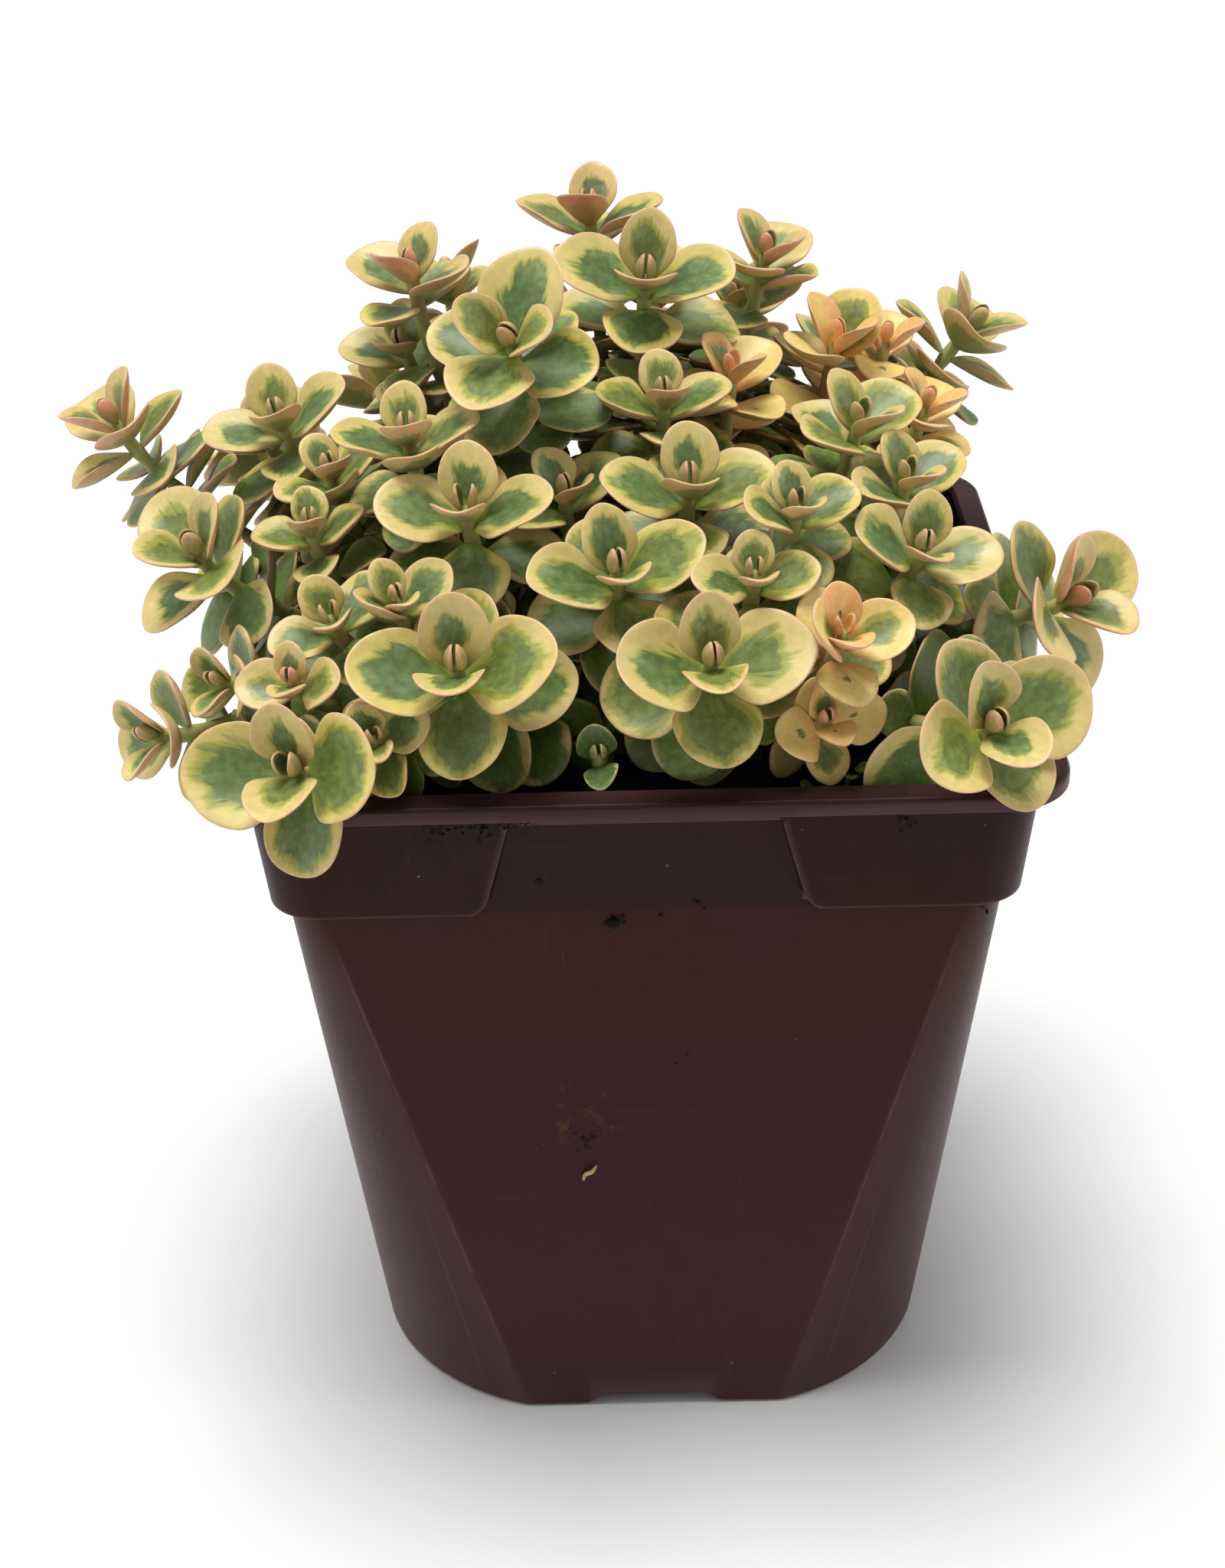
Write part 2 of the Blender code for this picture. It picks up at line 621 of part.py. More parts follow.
def make_shoot(name, stem, leaf_length, kind, chosen):
    """One closed body: the stem, with a leaf drawn out of each chosen side of a node."""
    bm = bmesh.new()
    rings = [[bm.verts.new(corner) for corner in stem.ring(below)] for below, _ in stem.levels]
    faces = [*cap(rings[0]), *cap(rings[-1][::-1])]
    for (_, pair), upper, lower in zip(stem.levels, rings, rings[1:]):
        skip = []
        for hand in (1, -1):
            choice = chosen.get((name, pair, hand))
            if choice is None:
                continue
            near = side_of(pair, hand)
            far = (near + 1) % 4
            skip.append(near)
            before = [lower[near], lower[far], upper[far], upper[near]]
            for corners in leaf_rings(stem, pair, hand, leaf_length, choice):
                ring = [bm.verts.new(corner) for corner in corners]
                faces += triangles(before, ring)
                before = ring
            faces += cap(before)
        faces += triangles(lower, upper, skip)
    for face in faces:
        bm.faces.new(face)
    return add_object("shoot_" + name, bm, kind)


def make_plant(pot, soil):
    crowd = Crowd()
    for obj in (pot, soil):
        points = [vertex.co.copy() for vertex in obj.data.vertices]
        crowd.add(obj.name, points, [tuple(face.vertices) for face in obj.data.polygons])
    stems = place_stems(crowd)
    chosen = place_leaves(crowd, stems)
    for name, *_, leaf_length, _, kind in SHOOTS:
        make_shoot(name, stems[name], leaf_length * MM, kind, chosen)
    wanted = 2 * sum(shoot[-2] for shoot in SHOOTS)
    print(f"{len(chosen)} of {wanted} leaves have room, on {len(SHOOTS)} shoots")


clear_scene()
make_plant(make_pot(), make_soil())
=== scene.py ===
import math
from itertools import product
from random import Random

import bmesh
import bpy
from mathutils import Matrix, Vector, noise
from mathutils.bvhtree import BVHTree


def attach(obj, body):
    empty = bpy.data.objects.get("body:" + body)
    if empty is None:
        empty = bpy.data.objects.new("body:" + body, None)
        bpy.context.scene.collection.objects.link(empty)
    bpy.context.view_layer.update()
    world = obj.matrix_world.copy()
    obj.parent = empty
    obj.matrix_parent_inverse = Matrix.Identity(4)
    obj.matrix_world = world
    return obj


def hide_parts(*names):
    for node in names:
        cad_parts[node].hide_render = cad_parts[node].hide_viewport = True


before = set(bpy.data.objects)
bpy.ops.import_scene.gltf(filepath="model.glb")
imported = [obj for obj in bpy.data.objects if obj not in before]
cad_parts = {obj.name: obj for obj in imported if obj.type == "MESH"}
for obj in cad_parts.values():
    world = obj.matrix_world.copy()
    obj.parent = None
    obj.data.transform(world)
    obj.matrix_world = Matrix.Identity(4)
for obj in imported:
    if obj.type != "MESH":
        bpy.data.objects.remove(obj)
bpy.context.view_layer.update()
mm = 0.001
print("frame loaded")


# small helpers

def mix(low, high, share):
    return low + (high - low) * share


def smoothStep(low, high, value):
    share = min(max((value - low) / (high - low), 0), 1)
    return share * share * (3 - 2 * share)


def makeMesh(name, bm):
    mesh = bpy.data.meshes.new(name)
    bm.to_mesh(mesh)
    bm.free()
    return mesh


def addObject(name, data):
    made = bpy.data.objects.new(name, data)
    bpy.context.scene.collection.objects.link(made)
    return made


def addPiece(name, bm, material, replaced=None, subdivide=0, sharp=None):
    mesh = makeMesh(name, bm)
    mesh.shade_smooth()
    if sharp:
        mesh.set_sharp_from_angle(angle=math.radians(sharp))
    mesh.materials.append(material)
    piece = addObject(name, mesh)
    if subdivide:
        smoother = piece.modifiers.new("smoother", "SUBSURF")
        smoother.levels = smoother.render_levels = subdivide
    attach(piece, "root")
    if replaced:
        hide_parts(replaced)
    return piece


def vertsOf(made):
    return [item for item in made["geom"] if isinstance(item, bmesh.types.BMVert)]


def edgesOf(made):
    return [item for item in made["geom"] if isinstance(item, bmesh.types.BMEdge)]


def loft(bm, rings):
    # a circle pushed into the first ring's shape, then extruded from ring to ring
    loop = bmesh.ops.create_circle(bm, segments=len(rings[0]), radius=1)["verts"]
    edges = list({edge for vert in loop for edge in vert.link_edges})
    for vert, place in zip(loop, rings[0]):
        vert.co = place
    loops = [loop]
    for ring in rings[1:]:
        made = bmesh.ops.extrude_edge_only(bm, edges=edges)
        edges = edgesOf(made)
        above = {}
        for vert in vertsOf(made):
            below = next(edge.other_vert(vert) for edge in vert.link_edges if edge not in edges)
            above[below] = vert
        loop = [above[vert] for vert in loop]
        for vert, place in zip(loop, ring):
            vert.co = place
        edges = [edge for edge in edges if all(vert in loop for vert in edge.verts)]
        loops.append(loop)
    return loops


def ringEdges(loop):
    pairs = zip(loop, loop[1:] + loop[:1])
    return [next(edge for edge in a.link_edges if edge.other_vert(a) == b) for a, b in pairs]


def circle(centre, side, up, radius, count):
    angles = [math.tau * k / count for k in range(count)]
    return [centre + (side * math.cos(a) + up * math.sin(a)) * radius for a in angles]


def cappedLoft(bm, rings):
    loops = loft(bm, rings)
    for loop in (loops[0], loops[-1]):
        bmesh.ops.contextual_create(bm, geom=ringEdges(loop))
    bmesh.ops.recalc_face_normals(bm, faces=bm.faces)
    return loops


# shader helpers

def operator(operation, swapped=False):
    def apply(self, *others):
        values = (*others, self) if swapped else (self, *others)
        return calc(self.tree, operation, *values)
    return apply


class Value:
    # a socket that can be added, scaled, faded and blended like a plain number or colour

    __add__, __mul__, __abs__ = operator("ADD"), operator("MULTIPLY"), operator("ABSOLUTE")
    __sub__, __rsub__ = operator("SUBTRACT"), operator("SUBTRACT", swapped=True)
    __truediv__, __rtruediv__ = operator("DIVIDE"), operator("DIVIDE", swapped=True)
    root, least, most = operator("SQRT"), operator("MINIMUM"), operator("MAXIMUM")

    def __init__(self, socket):
        self.socket, self.tree = socket, socket.id_data

    def clamped(self):
        return calc(self.tree, "ADD", self, 0.0, clamp=True)

    def fade(self, low, high, start=0.0, end=1.0):
        inputs = dict(enumerate((self, low, high, start, end)))
        return nodeValues(addNode(self.tree, "ShaderNodeMapRange", inputs,
                                  interpolation_type="SMOOTHSTEP"))["Result"]

    def blend(self, share, other, mode="MIX"):
        inputs = {0: share, 6: self, 7: other}
        made = addNode(self.tree, "ShaderNodeMix", inputs, data_type="RGBA", blend_type=mode)
        return Value(made.outputs[2])


def wire(socket, value):
    if isinstance(value, Value):
        socket.id_data.links.new(value.socket, socket)
    else:
        socket.default_value = value


def addNode(tree, kind, inputs=(), **settings):
    made = tree.nodes.new(kind)
    for name, value in settings.items():
        setattr(made, name, value)
    for name, value in dict(inputs).items():
        wire(made.inputs[name], value)
    return made


def nodeValues(node):
    return {socket.name: Value(socket) for socket in node.outputs}


def calc(tree, operation, *values, clamp=False):
    inputs = dict(enumerate(values))
    return Value(addNode(tree, "ShaderNodeMath", inputs, operation=operation, use_clamp=clamp).outputs[0])


def plainColour(tree, colour):
    made = addNode(tree, "ShaderNodeRGB")
    made.outputs[0].default_value = colour
    return Value(made.outputs[0])


def speckle(place, scale, detail=3.0, rough=0.5, distort=0.0):
    inputs = {"Vector": place, "Scale": scale, "Detail": detail, "Roughness": rough}
    inputs["Distortion"] = distort
    return Value(addNode(place.tree, "ShaderNodeTexNoise", inputs).outputs[0])


def cells(place, scale):
    # how far a point is from its cell's middle, and a number drawn for each cell
    made = nodeValues(addNode(place.tree, "ShaderNodeTexVoronoi", {"Vector": place, "Scale": scale}))
    return made["Distance"], splitUp("Color", made["Color"])[0]


def joinUp(tree, *parts):
    return Value(addNode(tree, "ShaderNodeCombineXYZ", dict(enumerate(parts))).outputs[0])


def splitUp(kind, value):
    name, label = {"Color": ("Color", "Color"), "Vector": ("XYZ", "Vector")}[kind]
    return list(nodeValues(addNode(value.tree, "ShaderNodeSeparate" + name, {label: value})).values())


def readAttribute(tree, name):
    return nodeValues(addNode(tree, "ShaderNodeAttribute", attribute_name=name))


def objectPlace(tree):
    return nodeValues(addNode(tree, "ShaderNodeTexCoord"))["Object"]


def makeGroup(name, inputs, outputs):
    tree = bpy.data.node_groups.new(name, "ShaderNodeTree")
    kinds = {"number": "NodeSocketFloat", "colour": "NodeSocketColor", "vector": "NodeSocketVector"}
    for label, (kind, value) in inputs.items():
        socket = tree.interface.new_socket(name=label, in_out="INPUT", socket_type=kinds[kind])
        socket.default_value = value
    for label, kind in outputs.items():
        tree.interface.new_socket(name=label, in_out="OUTPUT", socket_type=kinds[kind])
    given = nodeValues(addNode(tree, "NodeGroupInput"))
    return tree, given, addNode(tree, "NodeGroupOutput").inputs


def placeGroup(tree, name, **inputs):
    return nodeValues(addNode(tree, "ShaderNodeGroup", inputs, node_tree=bpy.data.node_groups[name]))


def newMaterial(name, **constants):
    material = bpy.data.materials.new(name)
    material.use_nodes = True
    tree = material.node_tree
    sockets = tree.nodes["Principled BSDF"].inputs
    labels = {"roughness": "Roughness", "specular": "Specular IOR Level", "under": "Subsurface Weight",
              "underScale": "Subsurface Scale", "underReach": "Subsurface Radius"}
    for label, value in constants.items():
        sockets[labels[label]].default_value = value
    return material, tree, sockets


def addBump(tree, sockets, height, strength, distance):
    inputs = {"Height": height, "Strength": strength, "Distance": distance}
    wire(sockets["Normal"], Value(addNode(tree, "ShaderNodeBump", inputs).outputs[0]))


# grain and smudges that several materials share

def makeSharedGroups():
    tree, given, result = makeGroup(
        "fineGrain", {"size": ("number", 1.0), "contrast": ("number", 0.5)},
        {"value": "number", "height": "number"})
    place, scale = objectPlace(tree), 1000.0 / given["size"]
    both = speckle(place, scale * 0.22, 3.0, 0.6) * 0.6 + speckle(place, scale, 2.0) * 0.4
    wire(result["value"], (both - 0.5) * given["contrast"] + 1.0)
    wire(result["height"], both)

    # a patch of crumbs that thins out from its centre; its edge says how soft each crumb is
    tree, given, result = makeGroup(
        "soilSmudge",
        {"centre": ("vector", (0, 0, 0)), "reach": ("number", 0.01), "grain": ("number", 400.0),
         "edge": ("number", 0.2), "amount": ("number", 0.5)}, {"mask": "number"})
    place = objectPlace(tree)
    away = addNode(tree, "ShaderNodeVectorMath", {0: place, 1: given["centre"]}, operation="DISTANCE")
    near = nodeValues(away)["Value"] / given["reach"]
    torn = speckle(place, given["grain"], 5.0, 0.7)
    spot = (1.75 - (torn * 3.2 + near * 0.75)).fade(0.0, given["edge"])
    wire(result["mask"], (spot * given["amount"]).clamped())


makeSharedGroups()


# the pot

pot = {
    "rimWidth": 114, "height": 116, "wall": 1.0, "baseInset": 7.3, "baseCorner": 22.5,
    "bodyCorner": 5, "rimCorner": 10, "cornerSteps": 14, "lipReach": 3.3, "lipDrop": 2.4,
    "lipRound": 0.8, "collarDepth": 20, "collarStep": 2.2, "collarFlare": 1.9, "edgeRise": 0.6,
    "windowDrop": 5.5, "windowTopWidth": 36, "windowBottomWidth": 43, "windowSlope": 0.8,
    "windowStep": 1.0, "windowRound": 2.5, "crease": 0.38, "edgeRoom": 1.2, "leastFlat": 0.5,
    "edgeRings": (1.6, 1.3),  # rings that keep the painted highlight on moulded edges close to the collar's edge and the window's
    "footHeight": 2.8, "footWidth": 3.2, "footRound": 1.0, "floorRound": 1.6, "padRadius": 7,
    "notchHeight": 2.4, "notchTopWidth": 16, "notchBottomWidth": 22, "drainRadius": 4,
    "drainInset": 11, "soilDrop": 8, "edgeSoftness": 0.4,
    # the worn colour is real wear and scratches, and also painted highlight on edges, along the creases
    # and towards the bottom
    "plastic": (0.0355, 0.0073, 0.0108, 1), "worn": (0.090, 0.045, 0.047, 1),
    "rust": (0.036, 0.0078, 0.0055, 1), "dirt": (0.006, 0.004, 0.003, 1), "roughness": 0.40,
    "dust": (0.066, 0.036, 0.013, 1), "specular": 0.10, "scuff": (0.30, 0.20, 0.16, 1),
    "shadow": (0, 0, 0, 1),
    # heights in metres: where the plastic turns rusty, and tones that fade in from one to the next, which
    # are painted shade on the collar and the lip and painted light towards the bottom
    "rusty": (0.066, 0.080),
    "shades": ((0.0945, 0.0965, 0.37, "shadow"), (0.1130, 0.1140, 0.25, "shadow"),
               (0.060, 0.008, 0.26, "worn")),
    "reflectionSource": (0.0450, 0.0980),  # where the painted streaks of reflection on a corner's cone would meet
    "dusting": ((-0.0105, -0.0470, 0.0585), 0.0120, 1.0, 330.0, 0.6),
    "scuffs": ((-0.0110, -0.0531, 0.1092), (-0.0008, -0.0531, 0.1090)),
    # soil on the wall: centre and reach in metres, and how much of it
    "smudges": (
        ((-0.0287, -0.0532, 0.1106), 0.0040, 0.9), ((-0.0215, -0.0532, 0.1110), 0.0050, 1.0),
        ((-0.0160, -0.0532, 0.1106), 0.0044, 0.9), ((0.0346, -0.0532, 0.1108), 0.0036, 0.8),
        ((-0.0146, -0.0500, 0.1010), 0.0022, 0.9), ((-0.0094, -0.0465, 0.0550), 0.0042, 0.8),
        ((-0.0044, -0.0494, 0.0933), 0.0026, 1.0), ((0.0071, -0.0496, 0.0963), 0.0020, 0.9),
        ((0.0480, 0.0100, 0.0700), 0.0060, 0.8), ((-0.0470, -0.0120, 0.0500), 0.0070, 0.8),
        ((0.0120, 0.0490, 0.0800), 0.0060, 0.8), ((0.0532, 0.0200, 0.1080), 0.0070, 0.9),
        ((-0.0200, 0.0532, 0.1090), 0.0080, 0.9), ((-0.0532, 0.0100, 0.1070), 0.0060, 0.9)),
}
collarEdge = pot["height"] - pot["collarDepth"]
windowEdge = pot["height"] - pot["windowDrop"]
floorTop = pot["footHeight"] + pot["wall"]
soilTop = pot["height"] - pot["soilDrop"]
collarTopHalf = pot["rimWidth"] / 2 - pot["lipReach"]
bodyTopHalf = collarTopHalf - pot["collarFlare"] - pot["collarStep"]
baseHalf = bodyTopHalf - pot["baseInset"]
notchEdge = pot["notchBottomWidth"] / 2


def bodyHalf(z):
    return mix(baseHalf, bodyTopHalf, z / collarEdge)


def collarHalf(z):
    return collarTopHalf - pot["collarFlare"] * (pot["height"] - z) / pot["collarDepth"]


def windowPlane(z):
    share = (z - collarEdge) / (windowEdge - collarEdge)
    return mix(bodyHalf(collarEdge), collarHalf(windowEdge) - pot["windowStep"], share)


def bodyCorner(z):
    base = min(pot["baseCorner"], baseHalf - notchEdge - pot["windowSlope"] - pot["wall"] - 1)
    return mix(base, pot["bodyCorner"], min(z / collarEdge, 1))


def windowHalf(z):
    if z < collarEdge:
        return mix(notchEdge, pot["windowBottomWidth"] / 2, z / collarEdge)
    share = min((z - collarEdge) / (windowEdge - collarEdge), 1)
    left = max(pot["windowRound"] - (z - collarEdge), 0)  # the collar's lower corners are rounded
    wider = pot["windowRound"] - math.sqrt(pot["windowRound"] ** 2 - left**2)
    return mix(pot["windowBottomWidth"], pot["windowTopWidth"], share) / 2 + wider


def outline(z, half, middle, corner, inset=0.0, lift=0.0, crease=0.0):
    # a ring round the pot, all in mm until its points are made; crease flattens a corner's arc
    sunk = half - middle
    slope = pot["windowSlope"] * sunk / pot["collarStep"] if sunk > 0 else pot["windowSlope"]
    half, middle = half - inset, middle - inset
    corner = max(corner - inset, pot["leastFlat"])
    flat = half - corner
    inner = min(windowHalf(z) + inset, flat - pot["windowSlope"] - pot["leastFlat"])
    outer = inner + slope
    near, end = pot["edgeRoom"], flat - pot["edgeRoom"]  # points that keep the painted edge highlight close to an edge
    right = [(inner - near, middle), (inner, middle), (outer, half), (min(outer + near, end), half),
             (end, half)]
    places = [(-place, depth) for place, depth in reversed(right)] + right
    points = []
    for side in range(4):
        turn = math.pi / 2 * side
        along = Vector((math.cos(turn), math.sin(turn), 0))
        out = Vector((math.sin(turn), -math.cos(turn), 0))
        points += [along * place + out * depth for place, depth in places]
        for step in range(pot["cornerSteps"] + 1):
            share = step / pot["cornerSteps"]
            angle = math.pi / 2 * step / pot["cornerSteps"]
            arc = along * math.sin(angle) + out * math.cos(angle)
            arc = arc.lerp(along * share + out * (1 - share), crease)
            points.append((along + out) * flat + arc * corner)
    return [(point + Vector((0, 0, z + lift))) * mm for point in points]


def bodyRing(z, inset=0.0, lift=0.0):
    half = bodyHalf(z)
    return outline(z, half, half, bodyCorner(z), inset, lift, pot["crease"])


def collarRing(z, windowed, inset=0.0, lift=0.0):
    share = (z - collarEdge) / pot["collarDepth"]
    corner = mix(pot["bodyCorner"] + pot["collarStep"], pot["rimCorner"] - pot["lipReach"], share)
    middle = windowPlane(z) if windowed else collarHalf(z)
    return outline(z, collarHalf(z), middle, corner, inset, lift)


def rimRing(z, inset):
    half = pot["rimWidth"] / 2
    return outline(z, half, half, pot["rimCorner"], inset)


def innerRings(inset, top):
    rings = [bodyRing(floorTop, inset + pot["floorRound"], inset - pot["wall"]),
             bodyRing(floorTop + pot["floorRound"], inset, inset - pot["wall"])]
    rings += [bodyRing(z, inset, inset) for z in range(16, int(collarEdge) - 6, 12)]
    rings += [bodyRing(collarEdge - pot["edgeRise"] / 2, inset, inset)]
    rings += [collarRing(z, True, inset, inset) for z in (collarEdge + pot["edgeRise"] / 2, windowEdge)]
    rings += [collarRing(windowEdge + pot["edgeRise"], False, inset, inset),
              collarRing(top - inset, False, inset, inset)]
    return rings


def potCutter():
    # tapered blocks for the notches in the foot and rods for the drain holes
    bm = bmesh.new()
    slope = (pot["notchBottomWidth"] - pot["notchTopWidth"]) / 2 / pot["notchHeight"]
    for side in range(4):
        spin = Matrix.Rotation(math.pi / 2 * side, 4, "Z")
        block = bmesh.ops.create_cube(bm, size=1)["verts"]
        for vert in block:
            top = vert.co.z > 0
            wide = pot["notchTopWidth"] / 2 if top else notchEdge + slope
            deep = baseHalf + 2 if vert.co.y < 0 else baseHalf - pot["footWidth"] - 1
            height = pot["notchHeight"] if top else -1
            vert.co = Vector((math.copysign(wide, vert.co.x), -deep, height)) * mm
        radius = pot["drainRadius"] * mm
        rod = bmesh.ops.create_cone(
            bm, cap_ends=True, segments=32, radius1=radius, radius2=radius, depth=4 * mm)["verts"]
        centre = Vector((0, pot["footWidth"] + pot["drainInset"] - baseHalf, floorTop - 0.5)) * mm
        bmesh.ops.translate(bm, vec=centre, verts=rod)
        bmesh.ops.transform(bm, matrix=spin, verts=block + rod)
    bmesh.ops.recalc_face_normals(bm, faces=bm.faces)
    return addObject("potCutter", makeMesh("potCutter", bm))


def potMaterial():
    material, tree, sockets = newMaterial("potPlastic", specular=pot["specular"])
    place, worn = objectPlace(tree), pot["worn"]
    x, y, z = splitUp("Vector", place)
    grain = placeGroup(tree, "fineGrain", size=1.2, contrast=0.25)
    cloudy = speckle(place, 26.0, 4.0, 0.6)
    colour = plainColour(tree, pot["plastic"])
    colour = colour.blend(z.fade(*pot["rusty"]) * cloudy.fade(0.30, 0.60), pot["rust"])
    # painted shade darkens the collar and the lip, and painted light makes the wall paler towards the
    # bottom
    for start, end, strength, tone in pot["shades"]:
        colour = colour.blend(z.fade(start, end, 0.0, strength), pot[tone])
    # faint drawn lines that run round the wall, and rubbed marks
    lines = speckle(joinUp(tree, x * 9.0, y * 9.0, z * 900.0), 1.0, 2.0)
    rubbed = speckle(place, 60.0, 6.0, 0.7, 0.6)
    marks = lines.fade(0.60, 0.78) * rubbed.fade(0.46, 0.66)
    colour = colour.blend(marks * 0.22, worn)
    # where a flat face meets a corner's cone: a painted highlight line, a paler band of painted light, and
    # painted streaks of reflection down the cone
    along = abs(x).least(abs(y))
    flatEnd = (baseHalf - pot["baseCorner"]) * mm
    slant = (bodyTopHalf - pot["bodyCorner"] - baseHalf + pot["baseCorner"]) / collarEdge
    past = along - (z * slant + flatEnd)
    line = abs(past).fade(0.45 * mm, 0.0) * speckle(place, 130.0, 4.0, 0.65).fade(0.30, 0.62)
    litBand = past.fade(0.0, 0.5 * mm) * past.fade(6 * mm, 0.6 * mm)
    conePoint, coneTop = pot["reflectionSource"]
    ray = speckle(joinUp(tree, (conePoint - along) / (coneTop - z) * 95.0, z * 9.0, 0.0), 1.0, 2.0)
    reflectionStreaks = ray.fade(0.56, 0.68) * past.fade(0.0, 1.5 * mm)
    creaseHighlight = line.most((litBand * 0.30).most(reflectionStreaks * 0.45)) * z.fade(0.094, 0.080) * z.fade(0.002, 0.010)
    colour = colour.blend(creaseHighlight * 0.85, worn)
    # hair scratches at two slants
    for turn, size in ((0.5, 34.0), (-0.9, 27.0)):
        turned = addNode(tree, "ShaderNodeMapping", {
            "Vector": place, "Rotation": (0.3, turn, 0.2), "Scale": (size * 14, size, size * 0.5)})
        hairs = speckle(nodeValues(turned)["Vector"], 1.0, 1.0, 0.4)
        patchy = speckle(place, 38.0 + size, 2.0).fade(0.58, 0.7)
        colour = colour.blend(abs(hairs - 0.5).fade(0.012, 0.0) * patchy * 0.13, worn)
    # moulded edges catch the light
    edge = nodeValues(addNode(tree, "ShaderNodeNewGeometry"))["Pointiness"].fade(0.505, 0.54)
    colour = colour.blend(edge * 0.8, worn)

    # a dusty patch, soil stuck to the wall, and pale flecks
    def smudge(centre, reach, amount, grain=900.0, edge=0.10):
        values = {"centre": centre, "reach": reach, "amount": amount, "grain": grain, "edge": edge}
        return placeGroup(tree, "soilSmudge", **values)["mask"]

    colour = colour.blend(smudge(*pot["dusting"]), pot["dust"])
    dirty = smudge(*pot["smudges"][0])
    for spot in pot["smudges"][1:]:
        dirty = dirty.most(smudge(*spot))
    colour = colour.blend(dirty, pot["dirt"])
    for centre in pot["scuffs"]:
        colour = colour.blend(smudge(centre, 0.0016, 0.8, 1500.0, 0.4), pot["scuff"])
    distance, drawn = cells(place, 330.0)
    colour = colour.blend(distance.fade(0.07, 0.03) * drawn.fade(0.86, 0.88) * 0.55, pot["scuff"])
    toned = addNode(tree, "ShaderNodeVectorMath", {0: colour, "Scale": grain["value"]}, operation="SCALE")
    wire(sockets["Base Color"], nodeValues(toned)["Vector"])
    shine = cloudy * 0.16 + (pot["roughness"] - 0.08) + dirty * 0.45 + marks * 0.12
    wire(sockets["Roughness"], shine.clamped())
    addBump(tree, sockets, grain["height"] + lines * 0.3 + dirty * 1.5, 0.22, 0.15 * mm)
    return material


def makePot():
    top, collarStart = pot["height"], collarEdge + pot["edgeRise"] / 2
    wall, reach, turned = pot["wall"], pot["lipRound"], pot["footRound"]
    quarter = [(math.sin(angle), math.cos(angle)) for angle in (math.pi / 2 * k / 3 for k in range(4))]
    rings = [bodyRing(0, pot["footWidth"], pot["footHeight"]), bodyRing(0, pot["footWidth"])]
    rings += [bodyRing(turned * (1 - cos), turned * (1 - sin)) for sin, cos in quarter]
    rings += [bodyRing(z) for z in range(8, int(collarEdge) - 3, 8)]
    below, beside = pot["edgeRings"]
    rings += [bodyRing(collarEdge - below), bodyRing(collarEdge - pot["edgeRise"] / 2)]
    rings += [collarRing(z, True) for z in (
        collarStart, collarEdge + 0.8, collarEdge + 1.5, collarEdge + pot["windowRound"],
        windowEdge - beside, windowEdge)]
    rings += [collarRing(windowEdge + pot["edgeRise"] + up, False) for up in (0, beside)]
    rings += [collarRing(top - wall, False), rimRing(top - wall, wall)]
    rings += [rimRing(top - pot["lipDrop"], inset) for inset in (wall, 0)]
    rings += [rimRing(top - reach * (1 - sin), reach * (1 - cos)) for sin, cos in quarter]
    rings.append(collarRing(top, False, wall - reach / 2))
    rings += reversed(innerRings(wall, top - reach))
    bm = bmesh.new()
    loops = loft(bm, rings)
    bmesh.ops.contextual_create(bm, geom=ringEdges(loops[-1]))
    pad = bmesh.ops.create_circle(bm, segments=40, radius=pot["padRadius"] * mm)
    bmesh.ops.translate(bm, vec=Vector((0, 0, pot["footHeight"] * mm)), verts=pad["verts"])
    padEdges = list({edge for vert in pad["verts"] for edge in vert.link_edges})
    bmesh.ops.triangle_fill(bm, use_beauty=True, edges=ringEdges(loops[0]) + padEdges)
    made = bmesh.ops.extrude_edge_only(bm, edges=padEdges)
    for vert in vertsOf(made):
        vert.co.z = 0
    bmesh.ops.contextual_create(bm, geom=edgesOf(made))
    bmesh.ops.recalc_face_normals(bm, faces=bm.faces)
    piece = addPiece("nurseryPot", bm, potMaterial(), "nursery_pot", sharp=38)
    cutter = potCutter()
    cut = piece.modifiers.new("cut", "BOOLEAN")
    cut.object, cut.solver = cutter, "EXACT"
    soften = piece.modifiers.new("soften", "BEVEL")
    soften.width, soften.segments = pot["edgeSoftness"] * mm, 2
    soften.limit_method, soften.angle_limit = "ANGLE", math.radians(28)
    piece.modifiers.new("even", "WEIGHTED_NORMAL").keep_sharp = True
    evaluated = piece.evaluated_get(bpy.context.evaluated_depsgraph_get())
    finished = bpy.data.meshes.new_from_object(evaluated)
    piece.modifiers.clear()
    piece.data = finished
    bpy.data.objects.remove(cutter)


makePot()
print("pot made")


# where every stem and leaf goes: the same crowns and the same rule for room as the solids

